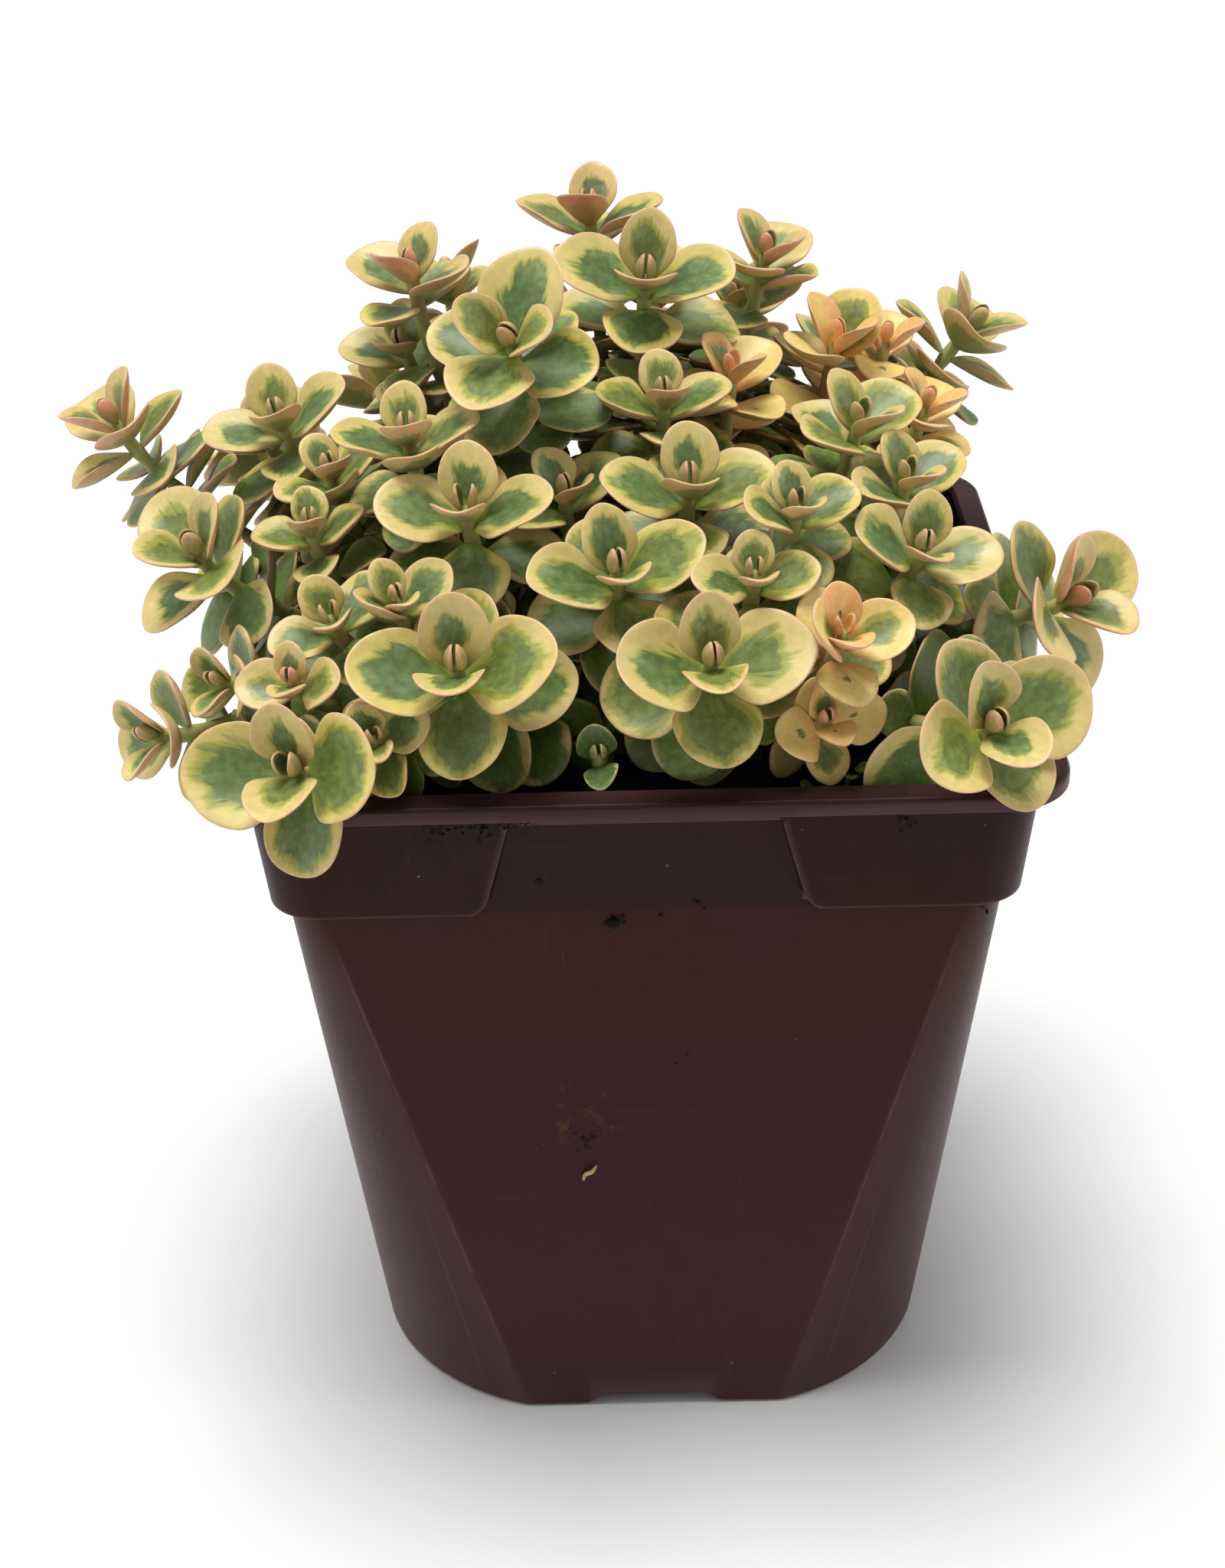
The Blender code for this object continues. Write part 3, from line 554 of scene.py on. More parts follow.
shoots = {
    "stemTip": 0.75, "stemBase": 1.15, "ringSpacing": 10, "curveSteps": 40, "startShare": 0.6,
    "edgeRoom": 6, "leastRise": 16, "pulls": (0.4, 0.28, 0.16), "tries": 60, "tryStep": 1.6,
    "nodeLength": 1.5, "leafThickness": 1.5, "leafCup": 0.16, "room": 0.35, "lowPairs": 5,
    # below the tip, length share, width over length, opening, bend
    "pairs": (
        (0.0, 0.36, 0.56, 5, 16), (1.5, 0.78, 0.80, 34, 10), (3.2, 1.00, 0.92, 62, 8),
        (5.2, 0.88, 0.94, 80, 4), (8.8, 0.94, 0.92, 92, 6), (14.5, 0.86, 0.90, 90, 12),
        (21.5, 0.80, 0.88, 86, 14), (29.5, 0.74, 0.86, 84, 12)),
    "extraOverlap": 6, "extraFloor": 5, "extraSizes": (1.0, 0.8, 0.62), "extraTurns": (45, 20, 70),
    "budThinness": 0.6, "sunk": 0.35, "riseShare": 0.45, "leastGap": 0.4,
    "looseBase": (0.5, 0.9),  # a loose leaf's half width at its base, and how far out that is
    "extraForm": (0.45, 84, 12),  # half width over length, opening, bend
    # along a leaf: how far, and the shares of its width and thickness
    "leafRings": ((0.34, 0.84, 1.0), (0.66, 1.0, 0.9), (0.95, 0.52, 0.5)),
    "smallRings": ((0.48, 1.0, 1.0), (0.93, 0.48, 0.5)),
    # how far below the tip the extra leaves sit, and their length share
    "extras": ((12, 0.88), (18, 0.86), (25, 0.82), (33, 0.76), (40, 0.70), (48, 0.64), (56, 0.58)),
}
goldenAngle = math.radians(137.5)
leafChoices = [(opening, share, aside) for share, aside, opening in
               product((1.0, 0.88, 0.74, 0.6), (0, 12, -12, 24, -24), (0, -10, 10, -22, 22, -34))]

# place and height over the rim in mm, heading, tilt, spin, leaf length, pairs, and kind if not green
crownGroups = {
    "front": (
        (-24, -50, 17, 0, 30, 0, 15.0, 6), (9, -52, 18, 4, 34, 5, 14.0, 6),
        (45, -56, 10, 8, 42, 26, 14.5, 5), (-45, -60, 8, -14, 44, 4, 15.0, 5),
        (26, -50, 21, 8, 24, 8, 10.0, 5, "cream"), (24, -51, 9, 0, 36, 20, 8.5, 4, "cream"),
        (-35, -54, 9, 10, 30, 20, 8.5, 4), (-6, -47, 2, 0, 20, 10, 8.5, 2, "shade")),
    "middle": (
        (-3, -38, 25, 6, 26, 14, 13.0, 6), (-23, -30, 31, 0, 22, -5, 13.0, 7),
        (7, -24, 31, 4, 18, 0, 13.0, 7), (38, -33, 25, 16, 28, -14, 11.5, 6),
        (21, -34, 32, 10, 16, 14, 9.5, 6), (15, -42, 26, 0, 20, 6, 9.0, 5),
        (-32, -41, 23, 0, 20, 30, 9.0, 5), (37, -20, 30, 12, 18, 28, 10.5, 6),
        (4, -8, 38, 0, 14, 10, 10.5, 6)),
    "left": (
        (-61, -22, 22, -30, 28, -34, 13.5, 6), (-41, -40, 20, -10, 24, 34, 9.5, 5),
        (-45, -22, 26, 0, 8, 4, 8.5, 6), (-51, 0, 33, -24, 22, 30, 12.0, 7),
        (-76, 6, 31, -70, 24, 8, 12.0, 6, "blush"), (-66, -42, 4, -50, 34, 30, 10.5, 4),
        (-57, -38, 10, -30, 30, 10, 9.0, 4), (-46, -48, 15, -10, 26, 0, 8.0, 3, "blush"),
        (-43, -12, 30, -10, 12, 42, 9.0, 6)),
    "top": (
        (-17, -12, 48, -8, 46, 75, 14.0, 7), (2, 8, 50, 4, 32, -10, 14.0, 7),
        (-6, 34, 52, -20, 10, 8, 12.0, 7, "blush"), (-32, 14, 50, -30, 12, -6, 11.5, 7, "blush"),
        (-34, 16, 38, -30, 24, 14, 10.5, 6), (-31, -20, 38, -6, 12, 8, 11.0, 6),
        (20, 22, 49, 40, 16, 20, 11.0, 7, "blush"), (30, 14, 38, 20, 14, 30, 11.5, 6, "cream"),
        (14, 2, 38, 10, 12, 40, 10.0, 6, "cream")),
    "right": (
        (31, -12, 35, 24, 16, 22, 12.0, 6), (52, 30, 34, 80, 36, 0, 12.5, 5),
        (59, -29, 15, 42, 50, 10, 14.5, 6, "blush"), (43, 8, 30, 50, 16, 20, 9.5, 5, "cream"),
        (38, 20, 36, 30, 12, 50, 9.5, 5, "cream")),
    "back": (
        (-14, 48, 30, 178, 30, 10, 12.5, 6), (14, 52, 24, 170, 34, -20, 13.0, 6),
        (38, 46, 20, 140, 34, 15, 12.0, 5), (-40, 44, 22, -150, 32, 0, 12.5, 5),
        (-60, 28, 16, -110, 40, 20, 12.5, 5), (46, 60, 14, 140, 40, -5, 12.0, 4),
        (4, 30, 42, 160, 18, 35, 10.5, 6, "blush"), (-28, 34, 42, -160, 20, 60, 11.5, 6),
        (0, 62, 8, 180, 50, 0, 12.0, 4), (-28, 60, 8, -170, 48, 30, 11.0, 4, "cream"),
        (30, 62, 6, 165, 50, 10, 11.5, 4), (50, 54, 4, 140, 46, 20, 10.0, 4),
        (-58, 52, 6, -135, 46, 10, 12.0, 4), (32, 34, 32, 120, 20, 0, 10.0, 5)),
    "inner": (
        (-14, 20, 40, -10, 12, 20, 11.0, 6), (16, 34, 38, 30, 14, 5, 10.5, 6),
        (-56, 14, 26, -60, 22, 40, 10.0, 6), (-10, -18, 28, 0, 14, 40, 10.5, 5)),
}
crowns = [(f"{group}_{number}", *row[:8], row[8] if len(row) > 8 else "green")
          for group, rows in crownGroups.items() for number, row in enumerate(rows, 1)]


class Crowd:
    # what stands already, and whether something new has room beside it

    def __init__(self):
        self.placed = []

    def add(self, owner, points, faces):
        self.placed.append((owner, BVHTree.FromPolygons(points, faces), *cornersOf(points)))

    def hasRoom(self, owner, points, faces):
        tree = None
        low, high = cornersOf(points)
        for other, otherTree, otherLow, otherHigh in self.placed:
            if other == owner:
                continue
            if any(low[i] > otherHigh[i] or high[i] < otherLow[i] for i in range(3)):
                continue
            tree = tree or BVHTree.FromPolygons(points, faces)
            if tree.overlap(otherTree):
                return False
        return True


def cornersOf(points):
    return ([min(point[i] for point in points) for i in range(3)],
            [max(point[i] for point in points) for i in range(3)])


def roughTube(rings):
    # the plain closed tube through rings of four points, which stands for a leaf or a stem
    points = [point for ring in rings for point in ring]
    last = len(points) - 4
    faces = [(0, 1, 2), (0, 2, 3), (last, last + 1, last + 2), (last, last + 2, last + 3)]
    for k, i in product(range(len(rings) - 1), range(4)):
        a, b = 4 * k + i, 4 * k + (i + 1) % 4
        faces += [(a, b, b + 4), (a, b + 4, a + 4)]
    return points, faces


class Stem:
    # a bent stem from its crown down to the mix, with the levels where its leaves and rings sit

    def __init__(self, crown, heading, tilt, spin, start, pull, pairs):
        flat = Vector((math.sin(heading), -math.cos(heading), 0))
        right = Vector((math.cos(heading), math.sin(heading), 0))
        axis = flat * math.sin(tilt) + Vector((0, 0, math.cos(tilt)))
        right = right * math.cos(spin) + axis.cross(right) * math.sin(spin)
        rise = max((crown.z - start.z) * shoots["riseShare"], shoots["leastRise"] * mm)
        pull *= (crown - start).length
        knots = (crown, crown - axis * pull, start + Vector((0, 0, rise)), start)
        self.stations = []
        before, walked = crown, 0.0
        for step in range(shoots["curveSteps"] + 1):
            t = step / shoots["curveSteps"]
            s = 1 - t
            point = knots[0] * s**3 + knots[1] * 3 * s * s * t
            point += knots[2] * 3 * s * t * t + knots[3] * t**3
            slope = (knots[0] - knots[1]) * s * s + (knots[1] - knots[2]) * 2 * s * t
            slope += (knots[2] - knots[3]) * t * t
            along = slope.normalized()
            right = (right - along * right.dot(along)).normalized()
            walked += (point - before).length
            before = point
            self.stations.append((walked, point, along, right.copy()))
        self.length = walked
        self.levels = []
        for pair in range(pairs):
            top = shoots["pairs"][pair][0] * mm
            if pair and top - self.levels[-1][0] < shoots["leastGap"] * mm:
                self.levels.pop()
            self.levels += [(top, pair), (top + shoots["nodeLength"] * mm, None)]
        last = self.levels[-1][0]
        steps = max(1, round((walked - last) / (shoots["ringSpacing"] * mm)))
        self.levels += [(mix(last, walked, (k + 1) / steps), None) for k in range(steps)]

    def at(self, distance):
        for (d0, p0, a0, r0), (d1, p1, a1, r1) in zip(self.stations, self.stations[1:]):
            if d1 >= distance:
                break
        share = min(max((distance - d0) / max(d1 - d0, 1e-9), 0), 1)
        along = a0.lerp(a1, share).normalized()
        right = r0.lerp(r1, share)
        right = (right - along * right.dot(along)).normalized()
        return p0.lerp(p1, share), along, right, along.cross(right)

    def halfAt(self, distance):
        return mix(shoots["stemTip"], shoots["stemBase"], min(distance / self.length, 1)) * mm

    def ring(self, distance, grow=0.0):
        place, along, right, back = self.at(distance)
        half = self.halfAt(distance) + grow
        return [place + (right * x + back * y) * half for x, y in ((1, -1), (1, 1), (-1, 1), (-1, -1))]

    def socket(self, pair, hand):
        index = [level for _, level in self.levels].index(pair)
        upper, lower = (self.ring(self.levels[index + k][0]) for k in (0, 1))
        near = pair % 2 + (0 if hand > 0 else 2)
        far = (near + 1) % 4
        return [lower[near], lower[far], upper[far], upper[near]]

    def tube(self, grow=0.0):
        return roughTube([self.ring(distance, grow) for distance, _ in reversed(self.levels)])


def leafForm(root, out, axis, length, halfWidth, start, bend):
    return {"root": root, "out": out, "axis": axis, "side": axis.cross(out), "length": length,
            "halfWidth": halfWidth, "start": math.radians(start), "bend": math.radians(bend)}


def leafFrame(stem, pair, hand, leafLength, choice):
    # where a leaf is rooted, the ways it runs, and its sizes
    below, share, widthShare, opening, bend = shoots["pairs"][pair]
    moreOpen, shorter, aside = choice
    place, axis, right, back = stem.at((below + shoots["nodeLength"] / 2) * mm)
    out = (right if pair % 2 == 0 else back) * hand
    turn = math.radians(aside)
    out = out * math.cos(turn) + axis.cross(out) * math.sin(turn)
    length = leafLength * share * shorter
    root = place + out * shoots["stemTip"] * mm
    return leafForm(root, out, axis, length, length * widthShare / 2, opening + moreOpen, bend)


def spinePoint(form, reach):
    # a place along the middle of a leaf, and the way its upper face looks there
    angle = form["start"] + form["bend"] * reach
    across = (math.cos(form["start"]) - math.cos(angle)) / form["bend"]
    up = (math.sin(angle) - math.sin(form["start"])) / form["bend"]
    centre = form["root"] + (form["out"] * across + form["axis"] * up) * form["length"]
    return centre, form["axis"] * math.sin(angle) - form["out"] * math.cos(angle)


def leafRings(form, rings, grow, thin=1):
    for reach, breadth, thickness in shoots[rings]:
        centre, normal = spinePoint(form, reach)
        edge = form["side"] * (form["halfWidth"] * breadth + grow)
        lift = normal * (form["halfWidth"] * breadth * shoots["leafCup"])
        half = normal * (shoots["leafThickness"] * mm / 2 * thickness * thin + grow)
        yield [centre - edge + lift, centre - half, centre + edge + lift, centre + half]


def roughLeaf(stem, pair, hand, leafLength, choice, grow=0.0):
    form = leafFrame(stem, pair, hand, leafLength, choice)
    rings = "leafRings" if 0 < pair < shoots["lowPairs"] else "smallRings"
    thin = 1 if pair else shoots["budThinness"]
    return roughTube([stem.socket(pair, hand), *leafRings(form, rings, grow, thin)])


def placeStems(crowd):
    stems = {}
    limit = (bodyHalf(soilTop) - pot["wall"] - shoots["edgeRoom"]) * mm
    for name, x, y, height, heading, tilt, spin, _, pairs, _ in crowns:
        crown = Vector((x, y, pot["height"] + height)) * mm
        turns = [math.radians(angle) for angle in (heading, tilt, spin)]
        for step, pull in product(range(shoots["tries"]), shoots["pulls"]):
            reach = shoots["tryStep"] * mm * math.sqrt(step)
            start = Vector((crown.x * shoots["startShare"] + reach * math.cos(goldenAngle * step),
                            crown.y * shoots["startShare"] + reach * math.sin(goldenAngle * step),
                            (soilTop + 0.3) * mm))
            start.x = min(max(start.x, -limit), limit)
            start.y = min(max(start.y, -limit), limit)
            stem = Stem(crown, *turns, start, pull, pairs)
            if crowd.hasRoom(name, *stem.tube(shoots["room"] * mm)):
                break
        crowd.add(name, *stem.tube())
        stems[name] = stem
    return stems


def placeLeaves(crowd, stems):
    chosen = {}
    for pair in range(len(shoots["pairs"])):
        for name, *_, leafLength, pairs, _ in crowns:
            if pair >= pairs:
                continue
            for hand, choice in product((1, -1), leafChoices):
                if (name, pair, hand) in chosen:
                    continue
                leaf = (stems[name], pair, hand, leafLength * mm, choice)
                if crowd.hasRoom(name, *roughLeaf(*leaf, shoots["room"] * mm)):
                    crowd.add(name, *roughLeaf(*leaf))
                    chosen[name, pair, hand] = choice
    return chosen


def placeExtras(crowd, stems):
    # small leaves lower on the stems, between the pairs, wherever there is room left
    extra = {}
    breadth, opening, bend = shoots["extraForm"]
    for (below, share), (name, *_, leafLength, pairs, _) in product(shoots["extras"], crowns):
        stem = stems[name]
        highest = shoots["pairs"][pairs - 1][0] - shoots["extraOverlap"]
        if below < highest or below * mm > stem.length - shoots["extraFloor"] * mm:
            continue
        for quarter in range(4):
            for smaller, turn in product(shoots["extraSizes"], shoots["extraTurns"]):
                place, axis, right, back = stem.at(below * mm)
                angle = math.radians(turn + 90 * quarter)
                out = right * math.cos(angle) + back * math.sin(angle)
                length = leafLength * mm * share * smaller
                root = place + out * shoots["stemTip"] * mm
                form = leafForm(root, out, axis, length, length * breadth, opening, bend)
                if crowd.hasRoom(name + str(below), *looseLeaf(form, shoots["room"] * mm)):
                    crowd.add(name + str(below) + str(quarter), *looseLeaf(form))
                    form["root"] = form["root"] - out * shoots["sunk"] * mm
                    extra.setdefault(name, []).append(form)
                    break
    return extra


def looseLeaf(form, grow=0.0):
    # the rough shape of a leaf that has no socket in the solids
    half, away = shoots["looseBase"]
    edge, up = form["side"] * (half * mm), form["axis"] * (half * mm)
    root = form["root"] + form["out"] * (away * mm)
    return roughTube([[root - edge, root - up, root + edge, root + up],
                      *leafRings(form, "leafRings", grow)])


def arrangePlant():
    crowd = Crowd()
    for node in ("nursery_pot", "potting_mix"):
        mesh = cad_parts[node].data
        crowd.add(node, [vert.co.copy() for vert in mesh.vertices],
                  [tuple(face.vertices) for face in mesh.polygons])
    stems = placeStems(crowd)
    chosen = placeLeaves(crowd, stems)
    return stems, chosen, placeExtras(crowd, stems)


stems, chosen, extra = arrangePlant()
print(len(chosen), "leaves have room, and", sum(map(len, extra.values())), "extra leaves")


# leaves

leaf = {
    "columns": 4, "rows": 5, "thickness": 1.45, "youngThickness": (0.62, 0.85), "overshoot": 1.03,
    "breadths": (0.91, 1.05), "shutBend": 0.66, "oldPair": 6,
    "cup": (20, 34), "youngCup": 42, "budCup": 60, "wave": 0.34, "point": 0.06, "lopsided": 0.12,
    "twist": 8, "narrowBase": 0.32, "bowl": 0.16,
    "budOpening": 34, "budBend": -72, "budWiden": 1.04, "budLengthen": 1.10, "roughness": 0.42,
    "core": (0.094, 0.154, 0.043, 1), "warmCore": (0.145, 0.188, 0.035, 1),
    "sage": (0.188, 0.245, 0.088, 1), "middle": (0.280, 0.300, 0.055, 1),
    "margin": (0.550, 0.455, 0.165, 1), "butter": (0.545, 0.470, 0.100, 1),
    "outerMargin": (0.570, 0.390, 0.190, 1), "rim": (0.580, 0.330, 0.215, 1),
    "back": (0.250, 0.280, 0.110, 1), "paleBack": (0.540, 0.400, 0.210, 1),
    "blush": (0.600, 0.215, 0.150, 1), "heart": (0.180, 0.300, 0.028, 1),
    "flush": (0.720, 0.270, 0.110, 1), "oldGreen": (0.152, 0.240, 0.036, 1),
    "speck": (0.050, 0.040, 0.018, 1), "fleck": (0.62, 0.64, 0.58, 1),
    # the colour is multiplied by a mix of these
    "dimTone": (0.93, 0.93, 0.92, 1), "brightTone": (1.07, 1.07, 1.05, 1),
    "dimBlotch": (0.80, 0.82, 0.80, 1), "brightBlotch": (1.14, 1.12, 1.10, 1),
}
creamEdge = (0.710, 0.550, 0.175, 1)
# how much of a leaf is green, and how pink its back and its edge are
leafKinds = {
    "green": {"slot": "leaf_green", "look": {"greenReach": 0.53, "pink": 0.26, "rimPink": 0.6}},
    "shade": {"slot": "leaf_green", "look": {"greenReach": 1.0, "pink": 0.05, "rimPink": 0.2}},
    "cream": {"slot": "leaf_cream", "look": {
        "greenReach": 0.04, "pink": 0.52, "rimPink": 0.6, "flush": 0.66, "oddGreen": 0.34,
        "margin": creamEdge, "butter": creamEdge}},
    "blush": {"slot": "leaf_blush", "look": {"greenReach": 0.48, "pink": 0.85, "rimPink": 0.8}},
}


def onDisc(u, v):
    # a square's point moved onto the round disc that fits in it
    return u * math.sqrt(1 - v * v / 2), v * math.sqrt(1 - u * u / 2)


def makeLeafTemplate():
    # a flat grid pulled up into a slab, with its place on the disc kept as its UV
    bm = bmesh.new()
    bmesh.ops.create_grid(bm, x_segments=leaf["columns"], y_segments=leaf["rows"], size=1)
    under = bm.faces[:]
    made = bmesh.ops.extrude_face_region(bm, geom=under, use_keep_orig=True)
    for vert in vertsOf(made):
        vert.co.z = 1
    bmesh.ops.recalc_face_normals(bm, faces=bm.faces)
    unwrap = bm.loops.layers.uv.new("UVMap")
    for face in bm.faces:
        for corner in face.loops:
            x, y = onDisc(corner.vert.co.x, corner.vert.co.y)
            corner[unwrap].uv = (x / 2 + 0.5, y / 2 + 0.5)
    bm.verts.layers.float_color.new("leafLook")
    bm.verts.layers.float.new("leafSide")
    mesh = bpy.data.meshes.new("leafTemplate")
    bm.to_mesh(mesh)
    bm.free()
    return mesh


leafTemplate = makeLeafTemplate()


def leafShape(form, x, y, side):
    radius = min(math.hypot(x, y), 1)
    reach = (y * leaf["overshoot"] + 1) / 2 + form["point"] * max(y, 0) ** 5 * (1 - abs(x))
    centre, normal = spinePoint(form, reach)
    width = mix(leaf["narrowBase"], 1, smoothStep(-0.04, 0.44, reach))
    half = form["halfWidth"] * width * leaf["overshoot"] * (1 + form["lopsided"] * x)
    turn = form["twist"] * reach
    across = form["side"] * math.cos(turn) + normal * math.sin(turn)
    normal = normal * math.cos(turn) - form["side"] * math.sin(turn)
    curl = form["cup"] * x
    sideways = half * math.sin(curl) / math.sin(form["cup"])
    lift = half * (1 - math.cos(curl)) / math.sin(form["cup"])
    angle = math.atan2(x, y)
    ripple = math.sin(3 * angle + form["phase"]) + 0.5 * math.sin(5 * angle - 2 * form["phase"])
    lift += form["wave"] * radius**3 * ripple
    lift += form["bowl"] * radius**3 * smoothStep(-1, 0.4, y)  # the rim turns up like a spoon's
    thick = form["thick"] * (1 - 0.62 * radius**3)
    if side > 0.5:
        thick -= form["thick"] * 0.22 * max(0, 1 - abs(x) * 3)  # the midrib's shallow valley
    return centre + across * sideways + normal * (lift + (side - 0.5) * 2 * thick)


def growLeaf(bm, form, look):
    before = len(bm.verts)
    bm.from_mesh(leafTemplate)
    lookLayer = bm.verts.layers.float_color["leafLook"]
    sideLayer = bm.verts.layers.float["leafSide"]
    bm.verts.ensure_lookup_table()
    for index in range(before, len(bm.verts)):
        vert = bm.verts[index]
        u, v, side = vert.co
        vert.co = leafShape(form, *onDisc(u, v), side)
        vert[lookLayer], vert[sideLayer] = look, side


def makeVariegation():
    inputs = {label: ("number", 0.0) for label in ("greenReach", "oddGreen", "flush", "pink", "rimPink")}
    colours = ("core", "warmCore", "sage", "middle", "butter", "paleBack", "margin", "rim", "back",
               "blush", "heart")
    inputs.update({label: ("colour", leaf[label]) for label in colours})
    outputs = {"colour": "colour", "roughness": "number", "height": "number"}
    tree, given, result = makeGroup("variegation", inputs, outputs)
    unwrap = nodeValues(addNode(tree, "ShaderNodeUVMap", uv_map="UVMap"))["UV"]
    x, y = (share * 2.0 - 1.0 for share in splitUp("Vector", unwrap)[:2])
    radius = (x * x + y * y).root()
    seed, age, warm = splitUp("Color", readAttribute(tree, "leafLook")["Color"])
    side = readAttribute(tree, "leafSide")["Fac"]
    # veins fan out from the leaf's root
    below, shift = y + 1.3, seed * 43.0
    fan = calc(tree, "ARCTAN2", x, below)
    far = (x * x + below * below).root()
    veins = speckle(joinUp(tree, fan * 14.0, far * 1.1, shift), 1.0, 3.0, 0.62)
    broad = speckle(joinUp(tree, x * 1.2 + shift, y, seed), 1.3, 1.0)
    patch = speckle(joinUp(tree, x + shift, y, age), 5.0, 4.0, 0.6)
    # the green heart: ragged along the veins, right down to the root
    toRoot = (veins * 0.5 + y).fade(-0.05, -0.75)
    odd = seed.fade(0.68, 0.72)  # some leaves of a cream shoot have a green heart after all
    startReach = odd * given["oddGreen"] + given["greenReach"]
    hasGreen = startReach.fade(0.1, 0.3)
    reach = startReach + (veins - 0.5) * 0.46 + (broad - 0.5) * 0.66 + age * age * hasGreen * 0.45
    reach = reach + (warm - 0.5) * 0.22 + toRoot * 0.30 + hasGreen * age.fade(0.15, 0.11) * 0.34
    gap = reach - abs(x) * 0.12 - radius
    core = gap.fade(-0.035, 0.065)
    middle = (gap + seed.fade(0.25, 0.9) * 0.10).fade(-0.14, 0.02)
    margin = given["margin"].blend(warm.fade(0.25, 1.0) * age.fade(0.1, 0.6), given["butter"])
    margin = margin.blend(radius.fade(0.72, 1.0, 0.0, 0.38), leaf["outerMargin"])
    pale = (veins * 0.5 + broad).fade(0.72, 0.92) * gap.fade(0.42, 0.08)
    green = given["core"].blend(seed.fade(0.3, 1.0), given["warmCore"])
    green = green.blend(age.fade(0.55, 0.95, 0.0, 0.6), leaf["oldGreen"]).blend(pale, given["sage"])
    blotchy = plainColour(tree, leaf["dimBlotch"]).blend(patch.fade(0.35, 0.68), leaf["brightBlotch"])
    green = green.blend(1.0, blotchy, "MULTIPLY")
    colour = margin.blend(middle * hasGreen, given["middle"]).blend(core, green)
    # yellower at the root and along the midrib
    rib = abs(x).fade((0.6 - y) * 0.022 + 0.012, 0.0) * y.fade(0.45, -0.3, 0.0, 0.35)
    heart = (toRoot * 0.75).most(rib)
    colour = colour.blend(heart * startReach.fade(0.0, 0.4), given["heart"])
    # the back is paler and, on young leaves, pink towards its edge and tip
    back, young = 1.0 - side, age.fade(0.5, 0.05)
    paler = given["margin"].blend(0.5, given["paleBack"])
    paler = paler.blend(core * age.fade(0.0, 0.45, 0.85, 1.0), given["back"])
    colour = colour.blend(back.fade(0.35, 0.75), paler)
    outward = (y * 0.35 + radius).fade(0.2, 1.15)
    rosy = given["pink"] * (young * 0.8 + 0.2) * (back * 0.9 + 0.18) * (outward * 0.7 + 0.5)
    colour = colour.blend(rosy.clamped(), given["blush"])
    # cream leaves glow orange towards the shoot's tip and their own root
    glow = age.fade(0.42, 0.08).most(y.fade(0.1, -0.9)) * broad.fade(0.25, 0.6, 0.35, 1.0)
    glow = glow * given["flush"] * core.fade(0.8, 0.2)
    colour = colour.blend(glow.clamped(), leaf["flush"])
    # a thin warm line round the edge
    line = (veins * 0.05 + radius).fade(0.92, 1.01) * (young * 0.4 + given["rimPink"])
    colour = colour.blend(line.clamped(), given["rim"])
    tones = plainColour(tree, leaf["dimTone"]).blend(patch.fade(0.35, 0.7), leaf["brightTone"])
    colour = colour.blend(1.0, tones, "MULTIPLY")
    # a few dark specks, and tiny pale mineral flecks on some leaves
    distance, _ = cells(joinUp(tree, x + shift, y, 0.0), 2.3)
    sparse = speckle(joinUp(tree, shift, shift, 0.5), 3.0).fade(0.52, 0.56)
    colour = colour.blend(distance.fade(0.055, 0.03) * sparse * hasGreen * 0.7, leaf["speck"])
    distance, drawn = cells(joinUp(tree, x + shift, y, 2.0), 8.0)
    sparse = speckle(joinUp(tree, shift, 0.7, shift), 2.0).fade(0.50, 0.54)
    chips = distance.fade(0.16, 0.10) * drawn.fade(0.90, 0.92) * sparse
    wire(result["colour"], colour.blend(chips * 0.6, leaf["fleck"]))
    wire(result["roughness"], patch * 0.16 + (leaf["roughness"] - 0.08))
    grain = placeGroup(tree, "fineGrain", size=0.75)
    wire(result["height"], grain["height"] + veins * 0.5 - rib * 0.5)


def leafMaterial(kind):
    material, tree, sockets = newMaterial(
        "leaf" + kind.capitalize(), specular=0.45, under=0.10, underScale=1.4 * mm,
        underReach=(1.0, 0.9, 0.35))
    skin = placeGroup(tree, "variegation", **leafKinds[kind]["look"])
    wire(sockets["Base Color"], skin["colour"])
    wire(sockets["Roughness"], skin["roughness"])
    addBump(tree, sockets, skin["height"], 0.30, 0.12 * mm)
    return material


makeVariegation()
leafMaterials = {kind: leafMaterial(kind) for kind in leafKinds}


def startLeaves():
    # an empty mesh that already has the leaf's UV and attributes
    bm = bmesh.new()
    bm.from_mesh(leafTemplate)
    bmesh.ops.delete(bm, geom=bm.verts[:], context="VERTS")
    return bm


def makeLowerLeaves(name, kind, rng):
    bm = startLeaves()
    for form in extra[name]:
        draws = [rng.random() for _ in range(4)]
        form.update(cup=math.radians(mix(*leaf["cup"], draws[0])), twist=0.2 * (draws[1] - 0.5),
                    wave=leaf["wave"] * mm * draws[2], phase=draws[3] * 6.3, bowl=0,
                    point=leaf["point"] * draws[0], lopsided=0, thick=leaf["thickness"] * mm / 2)
        growLeaf(bm, form, (draws[3], 1, draws[1], 1))
    addPiece("lower_" + name, bm, leafMaterials[kind], "shoot_" + name, 1)


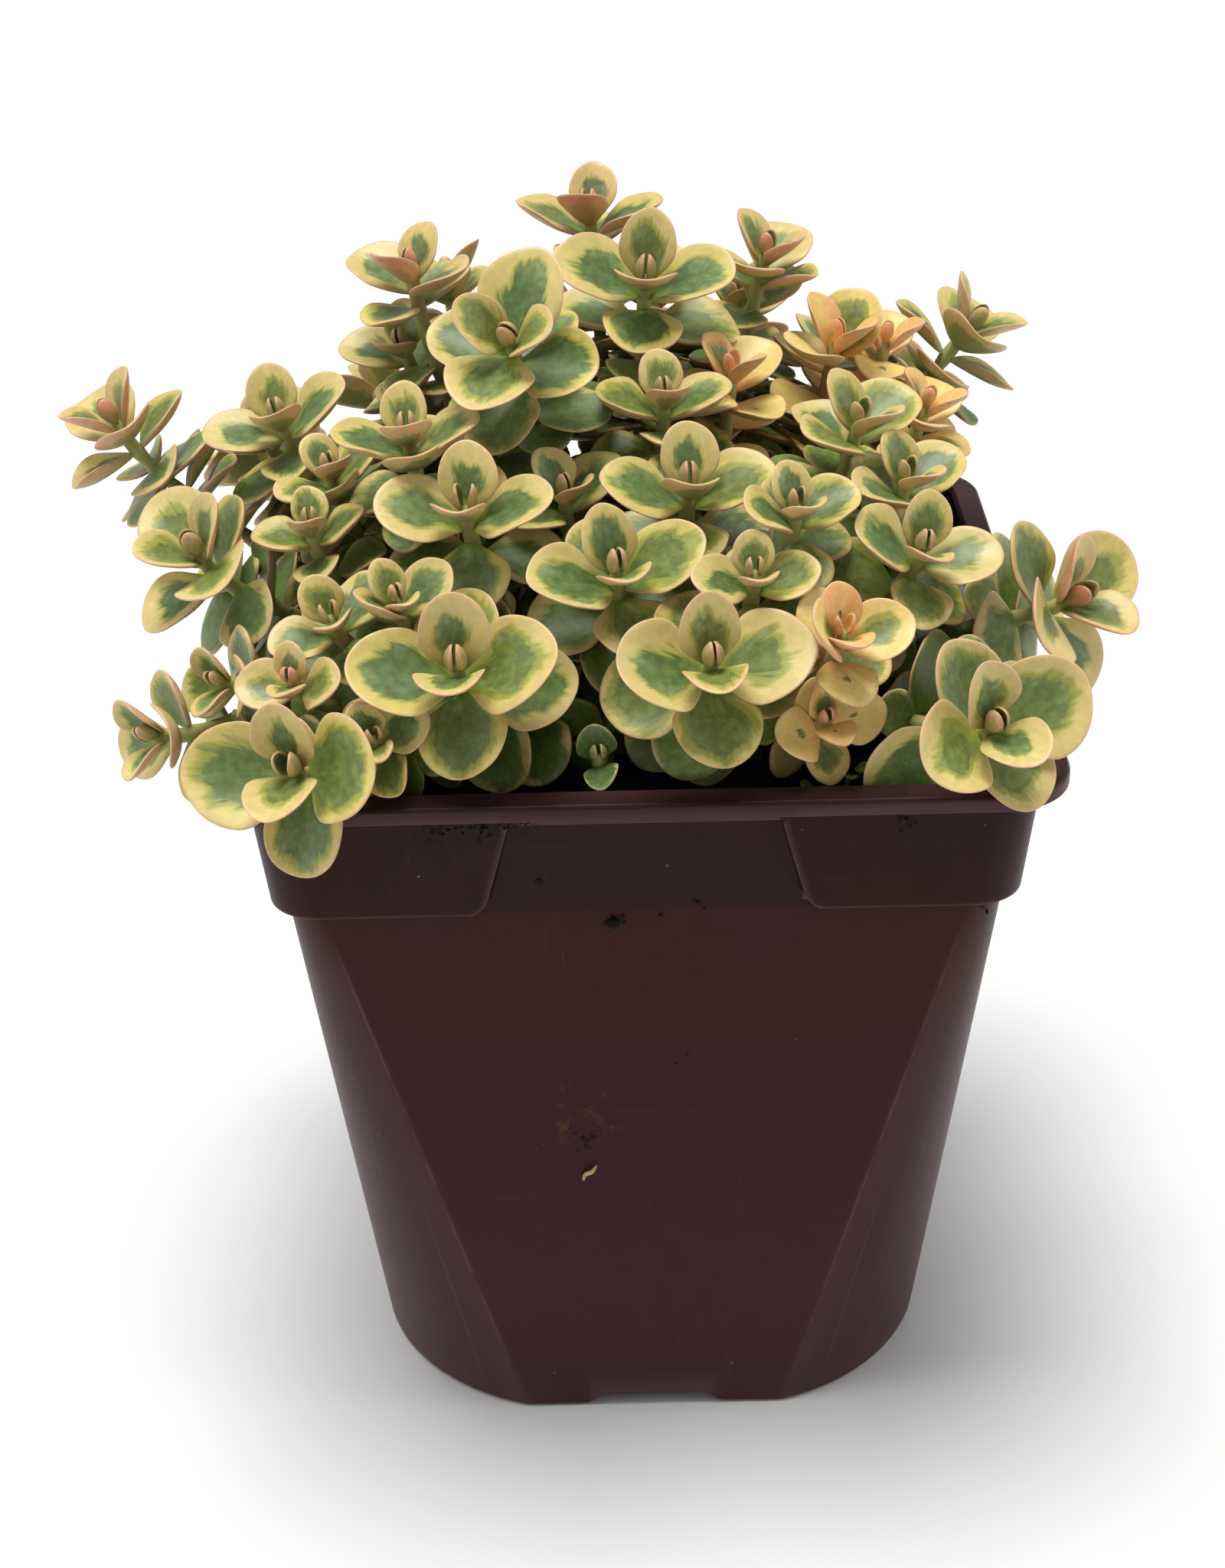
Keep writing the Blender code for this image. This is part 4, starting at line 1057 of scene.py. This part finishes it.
def makeLeaves(name, stem, leafLength, pairs, kind, rng):
    bm = startLeaves()
    shut = rng.random() ** 2  # most buds are closed
    for pair, hand in product(range(pairs), (1, -1)):
        draws = [rng.random() for _ in range(9)]
        choice = chosen.get((name, pair, hand))
        if choice is None:
            continue
        form = leafFrame(stem, pair, hand, leafLength * mm, choice)
        cup = leaf["youngCup"] if pair == 1 else mix(*leaf["cup"], draws[0])
        if pair == 0:  # the bud's two leaves lean out and close over its tip
            cup = leaf["budCup"]
            form["start"] = math.radians(leaf["budOpening"])
            form["bend"] = math.radians(leaf["budBend"] * mix(1.0, leaf["shutBend"], shut))
            form["length"] *= leaf["budLengthen"]
            form["halfWidth"] *= leaf["budWiden"]
        form.update(
            cup=math.radians(cup), phase=draws[3] * 6.3,
            twist=math.radians(leaf["twist"]) * (draws[1] * 2 - 1) * (pair > 0),
            wave=leaf["wave"] * mm * draws[2] * min(pair, 2) / 2,
            bowl=leaf["bowl"] * form["halfWidth"] * mix(0.4, 1.4, draws[1]) * min(pair, 2) / 2,
            point=leaf["point"] * draws[6] * (1 if pair else 0.5),
            lopsided=leaf["lopsided"] * (draws[7] * 2 - 1) * (pair > 0),
            thick=leaf["thickness"] * mm / 2 * (*leaf["youngThickness"], 1)[min(pair, 2)])
        form["halfWidth"] *= mix(*leaf["breadths"], draws[8]) if pair else 1
        form["root"] -= form["out"] * shoots["sunk"] * mm
        age = min(1, pair / leaf["oldPair"] + draws[4] * 0.12)
        growLeaf(bm, form, (draws[5], age, draws[2], 1))
    addPiece("leaves_" + name, bm, leafMaterials[kind], "shoot_" + name, 2)
    if name in extra:
        makeLowerLeaves(name, kind, rng)


rng = Random(7)
for name, *_, leafLength, pairs, kind in crowns:
    makeLeaves(name, stems[name], leafLength, pairs, kind, rng)
print("leaves grown")


# stems

stalk = {
    "sides": 10, "spacing": 1.6, "fullness": 1.12, "swelling": 0.28, "knuckleSpacing": 6.5,
    "knuckleDrop": 0.9, "bareKnuckles": 7, "knuckleLength": 1.0, "tipShare": 0.6,
    "depth": 1.6,  # how far a stem runs into the mix
    "greenLength": 45, "fresh": (0.33, 0.34, 0.11, 1),
    "old": (0.24, 0.17, 0.075, 1), "ruddy": (0.36, 0.15, 0.08, 1), "roughness": 0.5,
}


def stemMaterial():
    material, tree, sockets = newMaterial("stemSkin", specular=0.4, under=0.08, underScale=1.0 * mm)
    place = objectPlace(tree)
    mottle = speckle(place, 260.0, 4.0, 0.6)
    ageing = (mottle - 0.5) * 0.7 + readAttribute(tree, "stemAge")["Fac"]
    colour = plainColour(tree, stalk["fresh"]).blend(ageing.fade(0.25, 1.0), stalk["old"])
    ruddy = speckle(place, 90.0).fade(0.52, 0.68, 0.0, 0.5)
    wire(sockets["Base Color"], colour.blend(ruddy, stalk["ruddy"]))
    wire(sockets["Roughness"], mottle * 0.25 + (stalk["roughness"] - 0.1))
    addBump(tree, sockets, placeGroup(tree, "fineGrain", size=0.6)["height"], 0.4, 0.15 * mm)
    return material


stemSkin = stemMaterial()


def makeStem(name, stem, pairs):
    bm = bmesh.new()
    ageLayer = bm.verts.layers.float.new("stemAge")
    count = math.ceil(stem.length / (stalk["spacing"] * mm))
    knuckles = [(shoots["pairs"][pair][0] + stalk["knuckleDrop"]) * mm for pair in range(pairs)]
    knuckles += [knuckles[-1] + k * stalk["knuckleSpacing"] * mm
                 for k in range(1, stalk["bareKnuckles"] + 1)]
    rings = []
    for step in range(count + 1):
        distance = stem.length * step / count
        place, along, right, back = stem.at(distance)
        swell = max(math.exp(-((distance - knuckle) / (stalk["knuckleLength"] * mm)) ** 2)
                    for knuckle in knuckles)
        radius = stem.halfAt(distance) * stalk["fullness"] * (1 + stalk["swelling"] * swell)
        radius *= 1 if step else stalk["tipShare"]
        rings.append(circle(place, right, back, radius, stalk["sides"]))
    rings.append([point - Vector((0, 0, stalk["depth"] * mm)) for point in rings[-1]])
    for level, loop in enumerate(cappedLoft(bm, rings)):
        for vert in loop:
            vert[ageLayer] = min(level / count * stem.length / (stalk["greenLength"] * mm), 1)
    addPiece("stem_" + name, bm, stemSkin, "shoot_" + name)


for name, *_, pairs, kind in crowns:
    makeStem(name, stems[name], pairs)
print("stems grown")


# potting mix: the solid stays, under a lumpy crust and loose bits

mixture = {
    "cells": 64, "gap": 0.5, "rise": 1.5, "lumps": 620, "lumpSize": (0.35, 1.15), "corner": 6.5,
    "cover": 0.15, "shore": 3, "skirt": 0.6, "lumpScale": 0.16,
    "dark": (0.010, 0.007, 0.006, 1), "brown": (0.045, 0.026, 0.015, 1),
    "bark": (0.085, 0.048, 0.026, 1),
}


def soilMaterial(name, brown):
    material, tree, sockets = newMaterial(name, specular=0.25)
    clods = speckle(objectPlace(tree), 420.0, 6.0, 0.7)
    wire(sockets["Base Color"], plainColour(tree, mixture["dark"]).blend(clods.fade(0.45, 0.75), brown))
    wire(sockets["Roughness"], (clods * 0.3 + 0.7).clamped())
    addBump(tree, sockets, clods + placeGroup(tree, "fineGrain", size=0.5)["height"], 0.9, 0.6 * mm)
    return material


def lumpRise(x, y):
    lump = noise.fractal(Vector((x, y, 3.0)) * mixture["lumpScale"], 0.9, 2.1, 5)
    return mixture["rise"] * max(0, 0.45 + lump)


def makeSoil():
    crust = soilMaterial("soilCrust", mixture["brown"])
    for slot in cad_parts["potting_mix"].material_slots:
        slot.material = crust
    bm = bmesh.new()
    half = bodyHalf(soilTop) + pot["collarStep"] - pot["wall"] - mixture["gap"]
    flat = half - mixture["corner"]
    bmesh.ops.create_grid(bm, x_segments=mixture["cells"], y_segments=mixture["cells"], size=half * mm)
    for vert in bm.verts:
        x, y = vert.co.x / mm, vert.co.y / mm
        over = Vector((max(abs(x) - flat, 0), max(abs(y) - flat, 0)))
        if over.length > 0:
            over *= max(over.x, over.y) / over.length  # rounds the corners off
        x = math.copysign(min(abs(x), flat) + over.x, x)
        y = math.copysign(min(abs(y), flat) + over.y, y)
        inward = 1 - smoothStep(half - mixture["shore"], half, max(abs(x), abs(y)))
        vert.co = Vector((x, y, soilTop + mixture["cover"] + lumpRise(x, y) * inward)) * mm
    made = bmesh.ops.extrude_edge_only(bm, edges=[edge for edge in bm.edges if edge.is_boundary])
    for vert in vertsOf(made):
        vert.co.z = (soilTop - mixture["skirt"]) * mm
    bmesh.ops.contextual_create(bm, geom=edgesOf(made))
    bmesh.ops.recalc_face_normals(bm, faces=bm.faces)
    addPiece("soilCrust", bm, crust)


def makeLumps(name, places, material, flatten=0.8, turn=11):
    rng = Random(turn)
    bm = bmesh.new()
    for place, size in places:
        lump = bmesh.ops.create_icosphere(bm, subdivisions=1, radius=size * mm)["verts"]
        stretch = Matrix.Diagonal((rng.uniform(0.7, 1.5), rng.uniform(0.6, 1.1), flatten, 1))
        spin = Matrix.Rotation(rng.uniform(0, 6.3), 4, "Z")
        tip = Matrix.Rotation(rng.uniform(-0.6, 0.6), 4, "X")
        bmesh.ops.transform(bm, matrix=spin @ tip @ stretch, verts=lump)
        for vert in lump:
            vert.co *= rng.uniform(0.75, 1.2)
            vert.co += Vector(place) * mm
    return addPiece(name, bm, material, subdivide=1)


def makeLooseSoil():
    rng = Random(3)
    half = bodyHalf(soilTop) - 1.5
    places = []
    for _ in range(mixture["lumps"]):
        x, y = rng.uniform(-half, half), rng.uniform(-half, half)
        size = rng.uniform(*mixture["lumpSize"]) * (1.5 if rng.random() < 0.08 else 1)
        places.append(((x, y, soilTop + 0.3 + lumpRise(x, y)), size))
    makeLumps("looseSoil", places, soilMaterial("barkBits", mixture["bark"]))


bits = {
    # crumbs of soil stuck to the wall: place and size in mm
    "crumbs": (
        ((-4.6, -49.6, 93.2), 1.35), ((-3.3, -49.6, 94.3), 0.8), ((1.9, -49.6, 94.4), 0.45),
        ((7.1, -49.8, 96.4), 0.5), ((7.9, -49.7, 95.4), 0.25), ((5.4, -47.7, 69.9), 0.28),
        ((3.9, -47.6, 68.2), 0.26), ((46.8, -48.5, 93.2), 0.5), ((-14.6, -50.6, 101.0), 0.32),
        ((-9.8, -46.5, 54.8), 0.4), ((-8.2, -46.6, 55.8), 0.3), ((-11.6, -46.6, 56.6), 0.25),
        ((-10.6, -46.3, 52.4), 0.35), ((34.6, -53.4, 110.8), 0.4), ((36.0, -53.3, 110.1), 0.25),
        ((49.9, 12.0, 92.0), 0.6), ((-49.2, -20.0, 88.0), 0.4), ((8.0, 49.2, 89.0), 0.7)),
    "straw": (0.46, 0.30, 0.11, 1), "root": (0.30, 0.19, 0.09, 1), "streak": (0.10, 0.06, 0.03, 1),
    "tubeSides": 6, "pathSteps": 6, "lipCrumbs": 34, "rimCrumbs": 40,
    # name, kind, radius and path
    "threads": (
        ("husk", "straw", 0.34,
         ((-7.9, -46.6, 49.9), (-8.6, -46.8, 48.9), (-9.6, -46.5, 48.2), (-9.9, -46.2, 47.0))),
        ("rootOne", "root", 0.24,
         ((30.0, -44.0, 109.5), (31.5, -47.0, 111.8), (33.5, -48.6, 113.2), (34.6, -47.6, 114.6),
          (33.2, -46.8, 114.4), (33.6, -48.4, 112.6), (36.0, -49.6, 112.8), (37.2, -48.0, 114.2))),
        ("rootTwo", "root", 0.20,
         ((34.0, -45.0, 109.3), (36.4, -47.5, 111.2), (38.6, -48.8, 112.0), (40.0, -47.6, 113.2),
          (38.8, -46.6, 113.6), (38.0, -48.2, 112.4), (39.4, -49.8, 111.4))),
        ("strawBit", "straw", 0.3, ((-38.0, -47.0, 109.6), (-35.0, -48.0, 110.0), (-31.0, -48.4, 109.7)))),
}


def makeCrumbs():
    rng = Random(19)
    places = list(bits["crumbs"])
    for _ in range(bits["lipCrumbs"]):  # a run of fine crumbs under the lip
        x = rng.gauss(-21, 4.2)
        places.append(((x, -53.3, rng.gauss(110.9, 0.5)), rng.uniform(0.12, 0.34)))
    for _ in range(bits["rimCrumbs"]):  # and some on the lip itself
        side, along = rng.choice((-1, 1)), rng.uniform(-50, 50)
        places.append(((along, side * rng.uniform(53.6, 55.6), 116.0), rng.uniform(0.12, 0.4)))
    makeLumps("crumbs", places, soilMaterial("crumbSoil", mixture["brown"]), turn=5)


def smoothPath(knots, steps):
    points = []
    for index in range(len(knots) - 1):
        a, b = knots[index], knots[index + 1]
        before, after = knots[max(index - 1, 0)], knots[min(index + 2, len(knots) - 1)]
        for t in (step / steps for step in range(steps)):
            points.append(0.5 * (2 * a + (b - before) * t + (2 * before - 5 * a + 4 * b - after) * t * t
                                 + (3 * a - before - 3 * b + after) * t**3))
    return points + [knots[-1]]


def makeThread(name, path, radius, material):
    # a thin tapering tube along a smooth path of points in mm
    points = smoothPath([Vector(point) * mm for point in path], bits["pathSteps"])
    rings, side = [], None
    for index, point in enumerate(points):
        along = (points[min(index + 1, len(points) - 1)] - points[max(index - 1, 0)]).normalized()
        side = (side - along * side.dot(along) if side else along.orthogonal()).normalized()
        size = radius * mm * (1 - 0.65 * (2 * index / len(points) - 1) ** 2)
        rings.append(circle(point, side, along.cross(side), size, bits["tubeSides"]))
    bm = bmesh.new()
    cappedLoft(bm, rings)
    addPiece(name, bm, material)


def threadMaterial(name, colour):
    material, tree, sockets = newMaterial(name, roughness=0.6)
    streaks = speckle(objectPlace(tree), 900.0).fade(0.35, 0.7, 0.0, 0.45)
    wire(sockets["Base Color"], plainColour(tree, colour).blend(streaks, bits["streak"]))
    return material


def makeThreads():
    materials = {kind: threadMaterial(kind, bits[kind]) for kind in ("straw", "root")}
    for name, kind, radius, path in bits["threads"]:
        makeThread(name, path, radius, materials[kind])


# a tiny weed with round leaves just inside the front rim
weed = {
    "leaves": 11, "place": (27.6, -45.6, 110.6), "leafLength": (1.7, 2.5),
    "stem": ((27.0, -43.6, 108.3), (27.4, -44.8, 110.4), (27.6, -45.8, 113.6)),
    "sprout": (0.14, 0.22, 0.05, 1),
}


def makeSeedling():
    rng = Random(23)
    bm = startLeaves()
    count = weed["leaves"]
    for step in range(count):
        turn, spread = step * goldenAngle, 0.5 + 0.32 * step
        x, y, z = weed["place"]
        root = Vector((x + spread * math.cos(turn) * 1.5, y + spread * math.sin(turn) * 0.6,
                       z + 0.34 * (count - step))) * mm
        out = Vector((math.cos(turn), math.sin(turn) - 0.5, 0.25)).normalized()
        axis = Vector((0, -0.25, 1))
        axis = (axis - out * axis.dot(out)).normalized()
        length = rng.uniform(*weed["leafLength"]) * mm
        form = leafForm(root, out, axis, length, length * 0.46, 70, 25)
        form.update(dict.fromkeys(("twist", "wave", "phase", "bowl", "point", "lopsided"), 0))
        form.update(cup=math.radians(20), thick=0.22 * mm)
        growLeaf(bm, form, (rng.random(), 1, rng.random(), 1))
    addPiece("seedling", bm, leafMaterials["shade"], subdivide=1)
    green = threadMaterial("seedlingGreen", weed["sprout"])
    makeThread("seedlingStem", weed["stem"], 0.4, green)


makeSoil()
makeLooseSoil()
makeCrumbs()
makeThreads()
makeSeedling()
print("potting mix and loose bits made")


# stage, light and camera

studio = {
    "floor": (0.66, 0.66, 0.655, 1), "world": (1.0, 1.0, 1.0, 1), "worldStrength": 0.46,
    "keyStrength": 3.6, "boxPower": 2.2, "boxSize": (0.4, 0.8), "boxTarget": (0, 0, 0.09),
    # the camera's place, and which ways its right, its up and its gaze run
    "lens": 59.87, "viewpoint": (-0.00278, -0.35381, 0.28224),
    "viewAxes": ((0.99975, -0.00704, -0.02137), (0.02212, 0.48152, 0.87616),
                 (-0.00412, 0.87641, -0.48155)),
}


def makeFloor():
    bm = bmesh.new()
    bmesh.ops.create_grid(bm, x_segments=1, y_segments=1, size=6)
    mesh = makeMesh("floor", bm)
    material, _, sockets = newMaterial("paleFloor", roughness=0.7)
    sockets["Base Color"].default_value = studio["floor"]
    mesh.materials.append(material)
    addObject("floor", mesh)


def aimed(direction):
    return Vector(direction).to_track_quat("-Z", "Y").to_euler()


def addSoftbox(name, place):
    data = bpy.data.lights.new(name, "AREA")
    data.shape, data.energy = "RECTANGLE", studio["boxPower"]
    data.size, data.size_y = studio["boxSize"]
    box = addObject(name, data)
    box.location = place
    box.rotation_euler = aimed(Vector(studio["boxTarget"]) - Vector(place))


def addKey():
    # a broad overhead light that reaches the whole floor evenly
    data = bpy.data.lights.new("key", "SUN")
    data.energy, data.angle = studio["keyStrength"], math.radians(32)
    addObject("key", data).rotation_euler = aimed((0.25, -0.05, -2.5))


def makeCamera():
    data = bpy.data.cameras.new("camera")
    data.lens, data.sensor_width, data.clip_start = studio["lens"], 36, 0.01
    camera = addObject("camera", data)
    right, up, ahead = map(Vector, studio["viewAxes"])
    turn = Matrix((right, up, -ahead)).transposed().to_4x4()
    camera.matrix_world = Matrix.Translation(studio["viewpoint"]) @ turn
    bpy.context.scene.camera = camera


def lightWorld():
    bpy.context.scene.view_settings.view_transform = "Standard"
    world = bpy.context.scene.world = bpy.data.worlds.new("studioWorld")
    world.use_nodes = True
    backdrop = world.node_tree.nodes["Background"].inputs
    backdrop["Color"].default_value = studio["world"]
    seen = nodeValues(addNode(world.node_tree, "ShaderNodeLightPath"))["Is Camera Ray"]
    wire(backdrop["Strength"], seen.fade(0.0, 1.0, studio["worldStrength"], 1.0))


lightWorld()
makeFloor()
addKey()
addSoftbox("leftSoftbox", (-0.9, -0.2, 0.45))
addSoftbox("rightSoftbox", (0.9, -0.1, 0.45))
makeCamera()
print("stage set")
